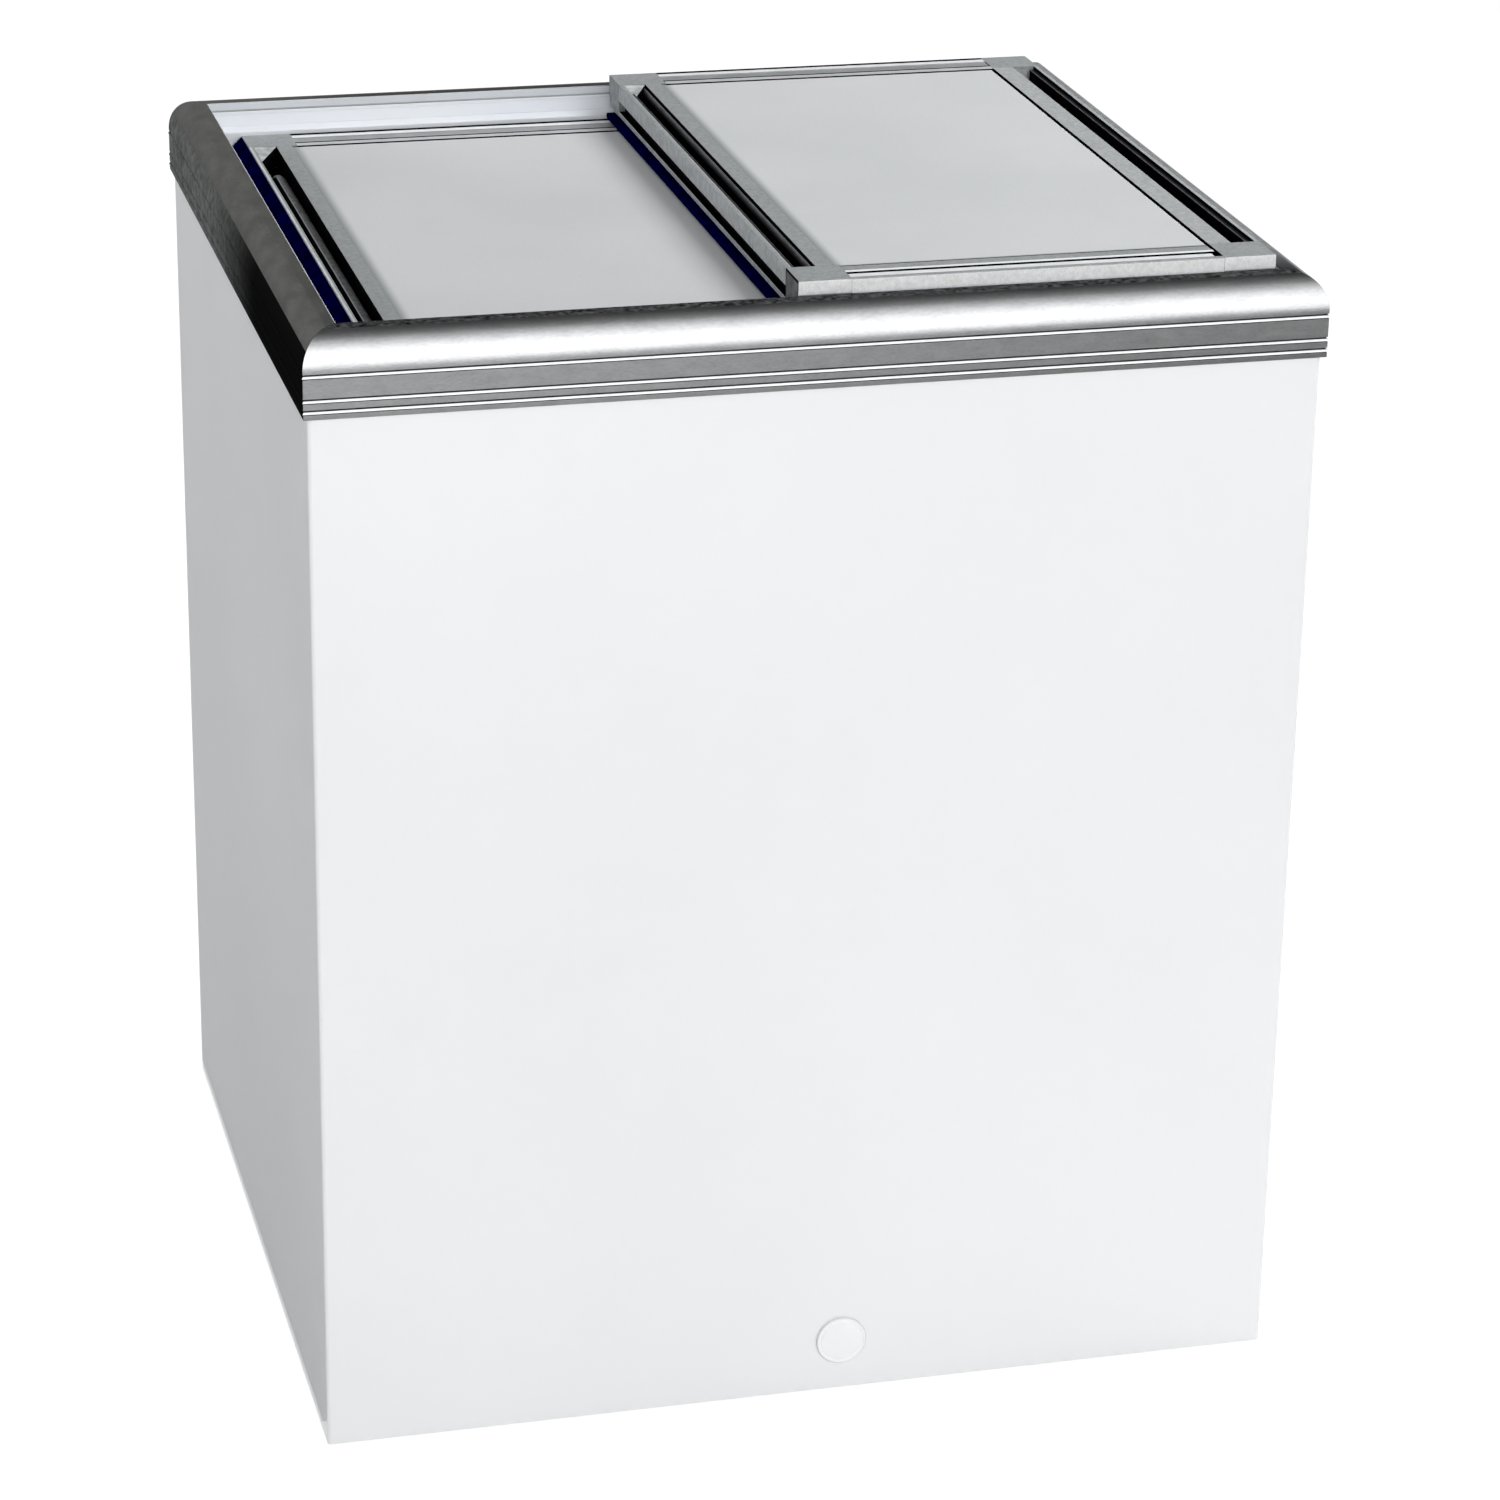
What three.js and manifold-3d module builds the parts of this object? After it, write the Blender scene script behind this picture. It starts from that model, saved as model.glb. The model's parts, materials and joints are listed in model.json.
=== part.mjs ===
// A chest freezer with two sliding lids, built as its separate pieces.
// Millimetres. +X is the right-hand side seen from the front, +Y the back, +Z up; the floor is z = 0.
import * as THREE from "three";
import { mergeVertices } from "three/addons/utils/BufferGeometryUtils.js";
import Module from "manifold-3d";

const wasm = await Module();
wasm.setup();

// Driving dimensions
const width = 720; // over the rim
const depth = 650; // over the rim
const height = 850; // floor to the top of the upper lid
const gap = 0.3; // left between pieces that touch

const foot = { height: 5, radius: 18, inset: 48 };

const cabinet = {
  inset: 3.5, // the panels stand this far inside the rim
  sheet: 1,
  bend: 3, // outer radius of the bent edges of the front and rear panels
  wrap: 4.5, // how far those edges reach round the corner
  clear: 0.8, // between the panels and what stands inside them
  top: 800, // upper edge of the panels, hidden inside the rim
};

const rim = {
  top: height - 9,
  height: 58,
  face: 0.5, // the plain face lies this far behind the ridges
  round: 20, // radius of the rounded top edge
  width: 28, // from the outer face to the inner wall
  wall: 2,
  ridges: [5.7, 13.7, 31.2], // centres, above the rim's bottom
  ridgeWidth: 1.3,
};
rim.bottom = rim.top - rim.height;

const track = {
  upper: 822, // the ledge that the upper lid runs on
  lower: 791.5, // the ledge that the lower lid runs on
  upperReach: 46, // from the rim's outer face to the edge of each ledge
  lowerReach: 60,
  sheet: 2,
};

const lid = {
  length: 343.5, // left to right
  thick: 25,
  upperTop: height,
  lowerTop: 819.5,
  upperHalf: depth / 2 - rim.width - 3.5, // half of the front-to-back size
  lowerHalf: depth / 2 - track.upperReach - 3.5,
  upperLeft: -14, // left face of the closed upper lid
  lowerLeft: -309.5, // left face of the closed lower lid
  edge: 36, // width of the front and rear edge profiles
  runner: 2.7, // height of the foot under those profiles
  wiper: 5.3, // how far the upper lid's seal reaches past its left face
};

const grip = {
  width: 37.5,
  bar: 4.6, // outer bar beside the finger channel
  channel: 17, // channel width at the top
  ledge: 4.2, // step on each side of the channel
  ledgeDepth: 2.6,
  depth: 17, // channel depth below the lid's top
  recess: 5, // depth of the finger recess under the bar
  recessTop: 13, // below the lid's top
  recessBottom: 21,
};

const block = { length: 34.5, round: 18, scoop: 22 };

// The lower lid's left grip has a straight channel with a round pull rod in it.
const rod = { left: 9.5, radius: 5, top: -6, front: -212, rear: 188 };

const tank = {
  halfX: 296, // inside
  halfY: 262,
  floor: 72,
  top: 783.4,
  radius: 40,
  sheet: 1.5,
  stepX: 86, // the step over the compressor starts here
  stepZ: 300, // and its top is here
  flange: 12,
};

const bay = { left: 146, top: 238, sheet: 1.2 }; // compressor bay, at the right
const band = { bottom: 315, gap: 10.5 }; // space round the tank that holds the evaporator coil
const coil = { radius: 4, turns: 5, bottom: 335, pitch: 78 };
const condenser = { radius: 2.5, plane: 315.5, half: 270, bottom: 320, pitch: 56, passes: 8 };
const pocket = { half: 310, bottom: 292, top: 745, depth: 13.5 }; // in the foam, for the condenser
const drain = { x: 27, y: -200, z: 45, outer: 11, inner: 9, bend: 20 };
const motor = { x: 250, y: 165, plateZ: 27, radius: 72, top: 205 };
const tray = { left: 160, right: 336, bottom: 178, top: 224, floor: 303, wall: 1.6 };
const knob = { x: 290, radius: 17, stem: 3 };
const gland = { x: 190, radius: 6.5 };
const opening = { left: 154, right: 342, bottom: 20, top: 228 }; // in the rear panel

const halfX = width / 2;
const halfY = depth / 2;
const panelX = halfX - cabinet.inset;
const panelY = halfY - cabinet.inset;
const controlZ = (tray.bottom + tray.top) / 2;
const pipeTop = 299.5; // where the discharge pipe meets the condenser coil
const suctionHole = [tank.halfX + tank.sheet + coil.radius + 0.7, 200]; // (x, y), in the bay's roof
const dischargeHole = [condenser.half, condenser.plane];

// Materials
const paint = new THREE.MeshStandardMaterial({ color: 0xeff1f3, roughness: 0.35, metalness: 0 });
const metal = new THREE.MeshStandardMaterial({ color: 0x94999c, roughness: 0.35, metalness: 0.8 });
const lidPanel = new THREE.MeshStandardMaterial({ color: 0xcbcdce, roughness: 0.5, metalness: 0 });
const lidFrame = new THREE.MeshStandardMaterial({ color: 0x8f9496, roughness: 0.5, metalness: 0 });
const tankSkin = new THREE.MeshStandardMaterial({ color: 0xf2f4f5, roughness: 0.4, metalness: 0 });
const foam = new THREE.MeshStandardMaterial({ color: 0xe8d9a0, roughness: 0.9, metalness: 0 });
const zinc = new THREE.MeshStandardMaterial({ color: 0xa9adb0, roughness: 0.45, metalness: 0.8 });
const copper = new THREE.MeshStandardMaterial({ color: 0xb87348, roughness: 0.4, metalness: 0.9 });
const blackPaint = new THREE.MeshStandardMaterial({ color: 0x1b1c1e, roughness: 0.4, metalness: 0 });
const blackPlastic = new THREE.MeshStandardMaterial({ color: 0x18191b, roughness: 0.6, metalness: 0 });
const rubber = new THREE.MeshStandardMaterial({ color: 0x101220, roughness: 0.8, metalness: 0 });
const whitePlastic = new THREE.MeshStandardMaterial({ color: 0xf4f5f6, roughness: 0.45, metalness: 0 });

const freezer = new THREE.Group();
freezer.name = "chest_freezer";

function add(name, geometry, material, parent = freezer) {
  const mesh = new THREE.Mesh(geometry, material);
  mesh.name = name;
  parent.add(mesh);
  return mesh;
}

// Booleans
function solid(geometry) {
  const bare = geometry.clone();
  bare.deleteAttribute("normal");
  bare.deleteAttribute("uv");
  const merged = mergeVertices(bare, 1e-4);
  return new wasm.Manifold(
    new wasm.Mesh({
      numProp: 3,
      vertProperties: merged.attributes.position.array,
      triVerts: new Uint32Array(merged.index.array),
    }),
  );
}

function surface(body) {
  const mesh = body.getMesh();
  return new THREE.BufferGeometry()
    .setAttribute("position", new THREE.BufferAttribute(new Float32Array(mesh.vertProperties), 3))
    .setIndex(new THREE.BufferAttribute(new Uint32Array(mesh.triVerts), 1));
}

const cut = (body, ...tools) => tools.reduce((left, tool) => left.subtract(solid(tool)), body);
const join = (body, ...others) => others.reduce((sum, other) => sum.add(solid(other)), body);

// Shapes
function box(x0, x1, y0, y1, z0, z1) {
  return new THREE.BoxGeometry(x1 - x0, y1 - y0, z1 - z0).translate(
    (x0 + x1) / 2,
    (y0 + y1) / 2,
    (z0 + z1) / 2,
  );
}

function outline(points) {
  return new THREE.Shape(points.map(([a, b]) => new THREE.Vector2(a, b)));
}

const extrude = (shape, length, curveSegments = 6) =>
  new THREE.ExtrudeGeometry(shape, { depth: length, bevelEnabled: false, curveSegments });

// A plan outline raised from z0 to z1.
const raise = (shape, z0, z1, segments) => extrude(shape, z1 - z0, segments).translate(0, 0, z0);

// An outline of (y, z) points drawn out from x0 to x1.
function alongX(points, x0, x1) {
  const axes = new THREE.Matrix4().makeBasis(
    new THREE.Vector3(0, 1, 0),
    new THREE.Vector3(0, 0, 1),
    new THREE.Vector3(1, 0, 0),
  );
  return extrude(outline(points), x1 - x0).applyMatrix4(axes).translate(x0, 0, 0);
}

// An outline of (x, z) points drawn out from y0 to y1.
function alongY(points, y0, y1) {
  return extrude(outline(points), y1 - y0).rotateX(Math.PI / 2).translate(0, y1, 0);
}

function arc(cx, cy, radius, from, to, steps) {
  const points = [];
  for (let i = 0; i <= steps; i++) {
    const angle = ((from + ((to - from) * i) / steps) * Math.PI) / 180;
    points.push([cx + radius * Math.cos(angle), cy + radius * Math.sin(angle)]);
  }
  return points;
}

function roundedPlan(hx, hy, radius, segments) {
  return outline([
    ...arc(hx - radius, hy - radius, radius, 0, 90, segments),
    ...arc(radius - hx, hy - radius, radius, 90, 180, segments),
    ...arc(radius - hx, radius - hy, radius, 180, 270, segments),
    ...arc(hx - radius, radius - hy, radius, 270, 360, segments),
  ]);
}

const upright = (radius, x, y, z0, z1, segments = 24) =>
  new THREE.CylinderGeometry(radius, radius, z1 - z0, segments)
    .rotateX(Math.PI / 2)
    .translate(x, y, (z0 + z1) / 2);

const level = (radius, x, z, y0, y1, segments = 24) =>
  new THREE.CylinderGeometry(radius, radius, y1 - y0, segments).translate(x, (y0 + y1) / 2, z);

// A profile of [radius, z] points turned about the vertical axis.
const turned = (profile, segments = 24) =>
  new THREE.LatheGeometry(
    profile.map(([r, z]) => new THREE.Vector2(r, z)),
    segments,
  ).rotateX(Math.PI / 2);

// Tubes: a route of straight stretches with rounded bends.
class Route extends THREE.Curve {
  constructor(points) {
    super();
    this.points = points;
  }
  getPoint(t) {
    const last = this.points.length - 1;
    const place = Math.min(t, 1) * last;
    const i = Math.min(Math.floor(place + 1e-6), last - 1);
    return this.points[i].clone().lerp(this.points[i + 1], place - i);
  }
  getTangent(t) {
    const last = this.points.length - 1;
    const i = Math.round(t * last);
    const before = this.points[Math.max(i - 1, 0)];
    const here = this.points[i];
    const after = this.points[Math.min(i + 1, last)];
    const into = here.clone().sub(before).normalize();
    const out = after.clone().sub(here).normalize();
    return into.add(out).normalize();
  }
  getUtoTmapping(u) {
    return u;
  }
}

function bentRoute(corners, radius, steps) {
  const turns = corners.map(([x, y, z]) => new THREE.Vector3(x, y, z));
  const points = [turns[0]];
  for (let i = 1; i < turns.length - 1; i++) {
    const into = turns[i].clone().sub(turns[i - 1]).normalize();
    const out = turns[i + 1].clone().sub(turns[i]).normalize();
    const half = into.angleTo(out) / 2;
    const reach = radius * Math.tan(half);
    const start = turns[i].clone().addScaledVector(into, -reach);
    const inward = out.clone().sub(into).normalize();
    const centre = turns[i].clone().addScaledVector(inward, radius / Math.cos(half));
    const spoke = start.clone().sub(centre);
    const axis = into.clone().cross(out).normalize();
    for (let k = 0; k <= steps; k++)
      points.push(spoke.clone().applyAxisAngle(axis, (2 * half * k) / steps).add(centre));
  }
  points.push(turns[turns.length - 1]);
  return points;
}

function tube(corners, { radius, inner = 0, bend, steps = 5, sides = 8 }) {
  const points = bentRoute(corners, bend, steps);
  const section = outline(arc(0, 0, radius, 0, 360 - 360 / sides, sides - 1));
  if (inner) section.holes.push(outline(arc(0, 0, inner, 0, 360 - 360 / sides, sides - 1)));
  return new THREE.ExtrudeGeometry(section, {
    steps: points.length - 1,
    extrudePath: new Route(points),
    bevelEnabled: false,
  });
}

// Cabinet: sheet steel panels, the front and rear ones bent round the corners
function wrappedPanel(side) {
  const outerX = panelX;
  const innerX = panelX - cabinet.sheet;
  const outerR = cabinet.bend;
  const innerR = cabinet.bend - cabinet.sheet;
  const cx = panelX - outerR;
  const cy = outerR - panelY;
  const end = cabinet.wrap - panelY;
  const plan = [
    [outerX, end],
    ...arc(cx, cy, outerR, 0, -90, 4),
    ...arc(-cx, cy, outerR, 270, 180, 4),
    [-outerX, end],
    [-innerX, end],
    ...arc(-cx, cy, innerR, 180, 270, 4),
    ...arc(cx, cy, innerR, -90, 0, 4),
    [innerX, end],
  ];
  return raise(outline(plan.map(([x, y]) => [x, y * side])), foot.height, cabinet.top);
}

function buildPanels() {
  const drainHole = level(drain.outer + 1, drain.x, drain.z, -panelY - 2, -panelY + 6);
  add("front_panel", surface(cut(solid(wrappedPanel(1)), drainHole)), paint);
  const bayHole = box(
    opening.left,
    opening.right,
    panelY - 6,
    panelY + 2,
    opening.bottom,
    opening.top,
  );
  add("rear_panel", surface(cut(solid(wrappedPanel(-1)), bayHole)), paint);
  const reach = panelY - cabinet.wrap - gap;
  for (const [name, side] of [
    ["left_side_panel", -1],
    ["right_side_panel", 1],
  ]) {
    const x0 = side < 0 ? -panelX : panelX - cabinet.sheet;
    add(name, box(x0, x0 + cabinet.sheet, -reach, reach, foot.height, cabinet.top), paint);
  }
}

// Base: one folded sheet makes the floor and the wall and roof of the compressor bay
function buildBase() {
  const x = panelX - cabinet.sheet - cabinet.clear;
  const y = panelY - cabinet.sheet - cabinet.clear;
  const z = foot.height;
  const sheet = [
    [-x, z],
    [bay.left, z],
    [bay.left, bay.top - bay.sheet],
    [x, bay.top - bay.sheet],
    [x, bay.top],
    [bay.left - bay.sheet, bay.top],
    [bay.left - bay.sheet, z + bay.sheet],
    [-x, z + bay.sheet],
  ];
  const pipeHoles = [
    upright(coil.radius + 3, ...suctionHole, bay.top - 5, bay.top + 5, 12),
    upright(condenser.radius + 2, ...dischargeHole, bay.top - 5, bay.top + 5, 12),
  ];
  add("base_pan", surface(cut(solid(alongY(sheet, -y, y)), ...pipeHoles)), zinc);
  const left = bay.left + 1;
  const plate = [
    [left, z],
    [x, z],
    [x, z + 18],
    [x - 2, z + 18],
    [x - 2, z + 2.5],
    [left + 2, z + 2.5],
    [left + 2, z + 18],
    [left, z + 18],
  ];
  add("compressor_plate", alongY(plate, -y, y), zinc);
  const profile = [
    [0, 0],
    [foot.radius - 2, 0],
    [foot.radius, 1.5],
    [foot.radius - 3, foot.height - gap],
    [0, foot.height - gap],
  ];
  for (const [name, sx, sy] of [
    ["foot_front_left", -1, -1],
    ["foot_front_right", 1, -1],
    ["foot_rear_left", -1, 1],
    ["foot_rear_right", 1, 1],
  ]) {
    const glide = add(name, turned(profile), blackPlastic);
    glide.position.set(sx * (halfX - foot.inset), sy * (halfY - foot.inset), 0);
  }
}

// Tank, its insulation and the frame that closes the gap between tank and rim
function tankBody(extra, z0, z1) {
  const plan = roundedPlan(tank.halfX + extra, tank.halfY + extra, tank.radius + extra, 5);
  const step = box(tank.stepX + extra, halfX, -halfY, halfY, -1, tank.stepZ - extra);
  return cut(solid(raise(plan, z0, z1)), step);
}

function buildTank() {
  const outer = tankBody(tank.sheet, tank.floor - tank.sheet, tank.top);
  const flange = roundedPlan(
    tank.halfX + tank.sheet + tank.flange,
    tank.halfY + tank.sheet + tank.flange,
    tank.radius,
    5,
  );
  const withFlange = join(outer, raise(flange, tank.top - 0.1, tank.top + tank.sheet));
  const shell = withFlange.subtract(tankBody(0, tank.floor, tank.top + 20));
  const drainHole = upright(drain.inner + 1, drain.x, drain.y, tank.floor - 5, tank.floor + 5);
  add("inner_tank", surface(cut(shell, drainHole)), tankSkin);
}

function drainRoute(top, front) {
  const { x, y, z } = drain;
  return [
    [x, y, top],
    [x, y, z],
    [x, front, z],
  ];
}

function buildFoam() {
  const x = panelX - cabinet.sheet - cabinet.clear;
  const y = panelY - cabinet.sheet - cabinet.clear;
  const inX = halfX - rim.width + rim.wall + 0.4;
  const inY = halfY - rim.width + rim.wall + 0.4;
  const bottom = foot.height + bay.sheet + gap;
  const snug = tankBody(tank.sheet + gap, tank.floor - tank.sheet - gap, tank.top + 20);
  const wide = roundedPlan(
    tank.halfX + tank.sheet + band.gap,
    tank.halfY + tank.sheet + band.gap,
    tank.radius + tank.sheet + band.gap,
    5,
  );
  const drainHole = tube(drainRoute(tank.floor + 5, -halfY), {
    radius: drain.outer + 1.5,
    bend: drain.bend,
    steps: 6,
    sides: 16,
  });
  const body = cut(
    solid(box(-x, x, -y, y, bottom, cabinet.top)),
    box(-inX, inX, -inY, inY, tank.top - gap, cabinet.top + 1),
    box(bay.left - bay.sheet - gap, halfX, -halfY, halfY, 0, bay.top + gap),
    raise(wide, band.bottom, tank.top + 1),
    box(-pocket.half, pocket.half, halfY - pocket.depth, halfY, pocket.bottom, pocket.top),
    upright(coil.radius + 2, ...suctionHole, bay.top - 5, band.bottom + 1, 12),
    upright(condenser.radius + 2, ...dischargeHole, bay.top - 5, 300, 12),
    drainHole,
  ).subtract(snug);
  add("insulation_foam", surface(body), foam);
}

function buildBreakerFrame() {
  const x = halfX - rim.width - 0.4;
  const y = halfY - rim.width - 0.4;
  const lip = 2; // how far the frame reaches over the tank's opening
  const thick = 4;
  const ring = outline([
    [-x, -y],
    [x, -y],
    [x, y],
    [-x, y],
  ]);
  ring.holes.push(roundedPlan(tank.halfX - lip, tank.halfY - lip, tank.radius, 5));
  const base = tank.top + tank.sheet + gap;
  add("breaker_frame", raise(ring, base, base + thick), whitePlastic);
}

// Rim: four mitred lengths of one profile; the front and rear ones also carry the lids' tracks
function rimSection() {
  const face = rim.face;
  const shoulder = rim.top - rim.round;
  const outer = [[face, rim.bottom]];
  for (const centre of rim.ridges) {
    const z = rim.bottom + centre;
    const half = rim.ridgeWidth / 2;
    outer.push([face, z - half - 0.9], [face + 0.5, z - half - 0.4], [0, z - half + 0.2]);
    outer.push([0, z + half - 0.2], [face + 0.5, z + half + 0.4], [face, z + half + 0.9]);
  }
  outer.push(...arc(face + rim.round, shoulder, rim.round, 180, 90, 8));
  const lip = rim.top - 5;
  const inner = [
    [rim.width, rim.top],
    [rim.width, lip],
    [rim.width - 0.8, lip - 0.3],
    [rim.width - 0.8, lip - 1],
    [rim.width, lip - 1.3],
    [rim.width, lip - 2.6],
    [rim.width - 0.8, lip - 2.9],
    [rim.width - 0.8, lip - 3.6],
    [rim.width, lip - 3.9],
    [rim.width, rim.bottom + 3],
    [rim.width - rim.wall, rim.bottom + 3],
    [rim.width - rim.wall, rim.top - rim.wall],
  ];
  const inside = [
    ...arc(face + rim.round, shoulder, rim.round - rim.wall, 90, 180, 8),
    [face + rim.wall, rim.bottom],
  ];
  return [...outer, ...inner, ...inside];
}

// Draws a section of (distance from the outer face, z) points along X and mitres both ends.
function mitred(section, halfLength) {
  const bar = alongX(section, -1, 1);
  const place = bar.attributes.position;
  for (let i = 0; i < place.count; i++)
    place.setX(i, Math.sign(place.getX(i)) * (halfLength - place.getY(i) - gap / 2));
  return bar;
}

function trackSection() {
  const { upper, lower, upperReach, lowerReach, sheet } = track;
  return [
    [rim.width - 1, upper - sheet],
    [upperReach - sheet, upper - sheet],
    [upperReach - sheet, lower - sheet],
    [lowerReach, lower - sheet],
    [lowerReach, lower],
    [upperReach, lower],
    [upperReach, upper],
    [rim.width - 1, upper],
  ];
}

function sideFlangeSection() {
  const z = track.lower;
  const reach = rim.width + 14;
  return [
    [rim.width - 1, z - track.sheet],
    [reach, z - track.sheet],
    [reach, z],
    [rim.width - 1, z],
  ];
}

function buildRim() {
  const trackHalf = halfX - rim.width - gap;
  const flangeHalf = halfY - track.lowerReach - gap;
  const long = join(
    solid(mitred(rimSection(), halfX)),
    alongX(trackSection(), -trackHalf, trackHalf),
  );
  const short = join(
    solid(mitred(rimSection(), halfY)),
    alongX(sideFlangeSection(), -flangeHalf, flangeHalf),
  );
  for (const [name, body, turn, x, y] of [
    ["rim_front", long, 0, 0, -halfY],
    ["rim_rear", long, Math.PI, 0, halfY],
    ["rim_left", short, -Math.PI / 2, -halfX, 0],
    ["rim_right", short, Math.PI / 2, halfX, 0],
  ]) {
    const length = add(name, surface(body), metal);
    length.rotation.z = turn;
    length.position.set(x, y, 0);
  }
  buildKeys();
}

function buildKeys() {
  const near = 8; // from the rim's outer faces
  const far = 22;
  const leg = 70;
  const bottom = cabinet.top + 5;
  const key = outline([
    [near, near],
    [leg, near],
    [leg, far],
    [far, far],
    [far, leg],
    [near, leg],
  ]);
  for (const [name, sx, sy] of [
    ["rim_key_front_left", 1, 1],
    ["rim_key_front_right", -1, 1],
    ["rim_key_rear_left", 1, -1],
    ["rim_key_rear_right", -1, -1],
  ]) {
    const piece = add(name, raise(key, bottom, bottom + 10), zinc);
    piece.scale.set(sx, sy, 1);
    piece.position.set(-sx * halfX, -sy * halfY, 0);
  }
}

// Lids. Every section is drawn for a left end, outwards from x = 0, with the lid's top at z = 0.
function channelSection(shrink, stepped) {
  const left = grip.bar + shrink;
  const right = grip.bar + grip.channel - shrink;
  const ledge = -grip.ledgeDepth + shrink;
  if (!stepped)
    return [
      [left, 1],
      [left, -grip.depth + shrink],
      [right, -grip.depth + shrink],
      [right, 1],
    ];
  return [
    [left, 1],
    [left, ledge],
    [left + grip.ledge, ledge],
    [left + grip.ledge, -grip.depth + shrink],
    [right - grip.ledge, -grip.depth + shrink],
    [right - grip.ledge, ledge],
    [right, ledge],
    [right, 1],
  ];
}

function gripSection(stepped) {
  const channel = channelSection(0, stepped).slice(1, -1);
  const recess = [
    [0, -grip.recessBottom],
    [grip.recess, -grip.recessBottom],
    [grip.recess, -grip.recessTop],
    [0, -grip.recessTop],
  ];
  return [
    [0, -lid.thick],
    ...(stepped ? recess : []),
    [0, -1],
    [1, 0],
    [grip.bar, 0],
    ...channel,
    [grip.bar + grip.channel, 0],
    [grip.width, 0],
    [grip.width, -lid.thick],
  ];
}

// Section of the front edge: (distance from the front face, height).
function edgeSection() {
  return [
    [0, -lid.thick],
    [0, -3],
    [0.7, -2.6],
    [0.7, -1.9],
    [0, -1.5],
    [1.5, 0],
    [12.5, 0],
    [13.1, -3],
    [15.9, -3],
    [16.5, 0],
    [lid.edge, 0],
    [lid.edge, -lid.thick],
    [10.5, -lid.thick],
    [10.5, -lid.thick - lid.runner],
    [3, -lid.thick - lid.runner],
    [3, -lid.thick],
  ];
}

// Corner block of the front left corner, with a curved scoop that closes the finger channel.
function cornerBlock(stepped) {
  const { length, round, scoop } = block;
  const side = [
    [length, 0],
    [length, -lid.thick],
    ...arc(round, round - lid.thick, round, 270, 180, 5),
    [0, -1],
    [1, 0],
  ];
  const slope = [[length - 0.5, 0]];
  slope.push(...arc(length + scoop, 0, scoop, 180, 225, 5));
  slope.push([length - 0.5, -0.7 * scoop]);
  const fill = solid(alongX(slope, 0, grip.width)).intersect(
    solid(alongY(channelSection(gap, stepped), 0, length + scoop)),
  );
  return solid(alongX(side, 0, grip.width)).add(fill);
}

function pullRod() {
  const { left, radius, top, front, rear } = rod;
  const middle = left + radius;
  const section = [
    [left, -grip.depth - 0.5],
    [left + 2 * radius, -grip.depth - 0.5],
    ...arc(middle, top - radius, radius, 0, 180, 8),
  ];
  return alongY(section, front, rear);
}

function buildLid(name, left, half, top, sealSection, sealTop, withRod) {
  const group = new THREE.Group();
  group.position.set(left, 0, top);
  freezer.add(group);
  const endY = half - block.length - gap;
  const innerX = grip.width + gap;
  const innerY = half - lid.edge - gap;
  add(
    name + "_panel",
    box(innerX, lid.length - innerX, -innerY, innerY, -lid.thick, 0),
    lidPanel,
    group,
  );
  const bar = alongY(gripSection(true), -endY, endY);
  const rodBar = () => surface(join(solid(alongY(gripSection(false), -endY, endY)), pullRod()));
  add(name + "_left_grip", withRod ? rodBar() : bar, lidFrame, group);
  const rightGrip = add(name + "_right_grip", bar, lidFrame, group);
  rightGrip.scale.x = -1;
  rightGrip.position.x = lid.length;
  const edge = alongX(edgeSection(), innerX, lid.length - innerX);
  add(name + "_front_edge", edge, lidFrame, group).position.y = -half;
  const rearEdge = add(name + "_rear_edge", edge, lidFrame, group);
  rearEdge.scale.y = -1;
  rearEdge.position.y = half;
  const corner = surface(cornerBlock(true));
  const plainCorner = surface(cornerBlock(false));
  for (const [place, sx, sy] of [
    ["front_left", 1, 1],
    ["front_right", -1, 1],
    ["rear_left", 1, -1],
    ["rear_right", -1, -1],
  ]) {
    const shape = withRod && sx > 0 ? plainCorner : corner;
    const piece = add(name + "_block_" + place, shape, lidFrame, group);
    piece.scale.set(sx, sy, 1);
    piece.position.set(sx < 0 ? lid.length : 0, -sy * half, 0);
  }
  const sealHalf = lid.lowerHalf - 1;
  const seal = add(name + "_seal", alongY(sealSection, -sealHalf, sealHalf), rubber, group);
  seal.position.z = sealTop;
}

function buildLids() {
  const wipe = lid.upperTop - lid.thick - lid.lowerTop;
  const wiper = [
    [-lid.wiper, -wipe + 0.8],
    [7, -wipe + 0.8],
    [9, -gap],
    [0.8 - lid.wiper, -gap],
    [-lid.wiper, -gap - 0.8],
  ];
  buildLid("upper_lid", lid.upperLeft, lid.upperHalf, lid.upperTop, wiper, -lid.thick, false);
  const reach = halfX - rim.width + lid.lowerLeft - 1;
  const slope = [
    [-gap, 0],
    [-reach, -reach],
    [-reach, -lid.thick + 1.5],
    [-gap, -lid.thick + 1.5],
  ];
  buildLid("lower_lid", lid.lowerLeft, lid.lowerHalf, lid.lowerTop, slope, 0, true);
}

// Refrigeration: evaporator round the tank, condenser behind the rear panel, compressor in its bay
function evaporatorRoute() {
  const x = tank.halfX + tank.sheet + coil.radius + 0.7;
  const y = tank.halfY + tank.sheet + coil.radius + 0.7;
  const corners = [[x, suctionHole[1] + 12, coil.bottom]];
  let z = coil.bottom;
  for (let turn = 0; turn < coil.turns; turn++)
    for (const [sx, sy] of [
      [1, -1],
      [-1, -1],
      [-1, 1],
      [1, 1],
    ]) {
      z += coil.pitch / 4;
      corners.push([sx * x, sy * y, z]);
    }
  corners.push([x, 0, z + coil.pitch / 4]);
  return corners;
}

function condenserRoute() {
  const { half, plane, bottom, pitch, passes } = condenser;
  const corners = [[half, plane, pipeTop]];
  for (let pass = 0; pass < passes; pass++) {
    const side = pass % 2 ? -1 : 1;
    const z = bottom + pass * pitch;
    corners.push([side * half, plane, z], [-side * half, plane, z]);
  }
  const last = corners.length - 1;
  corners[last] = [corners[last][0] * 0.8, plane, corners[last][2]];
  return corners;
}

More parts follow.
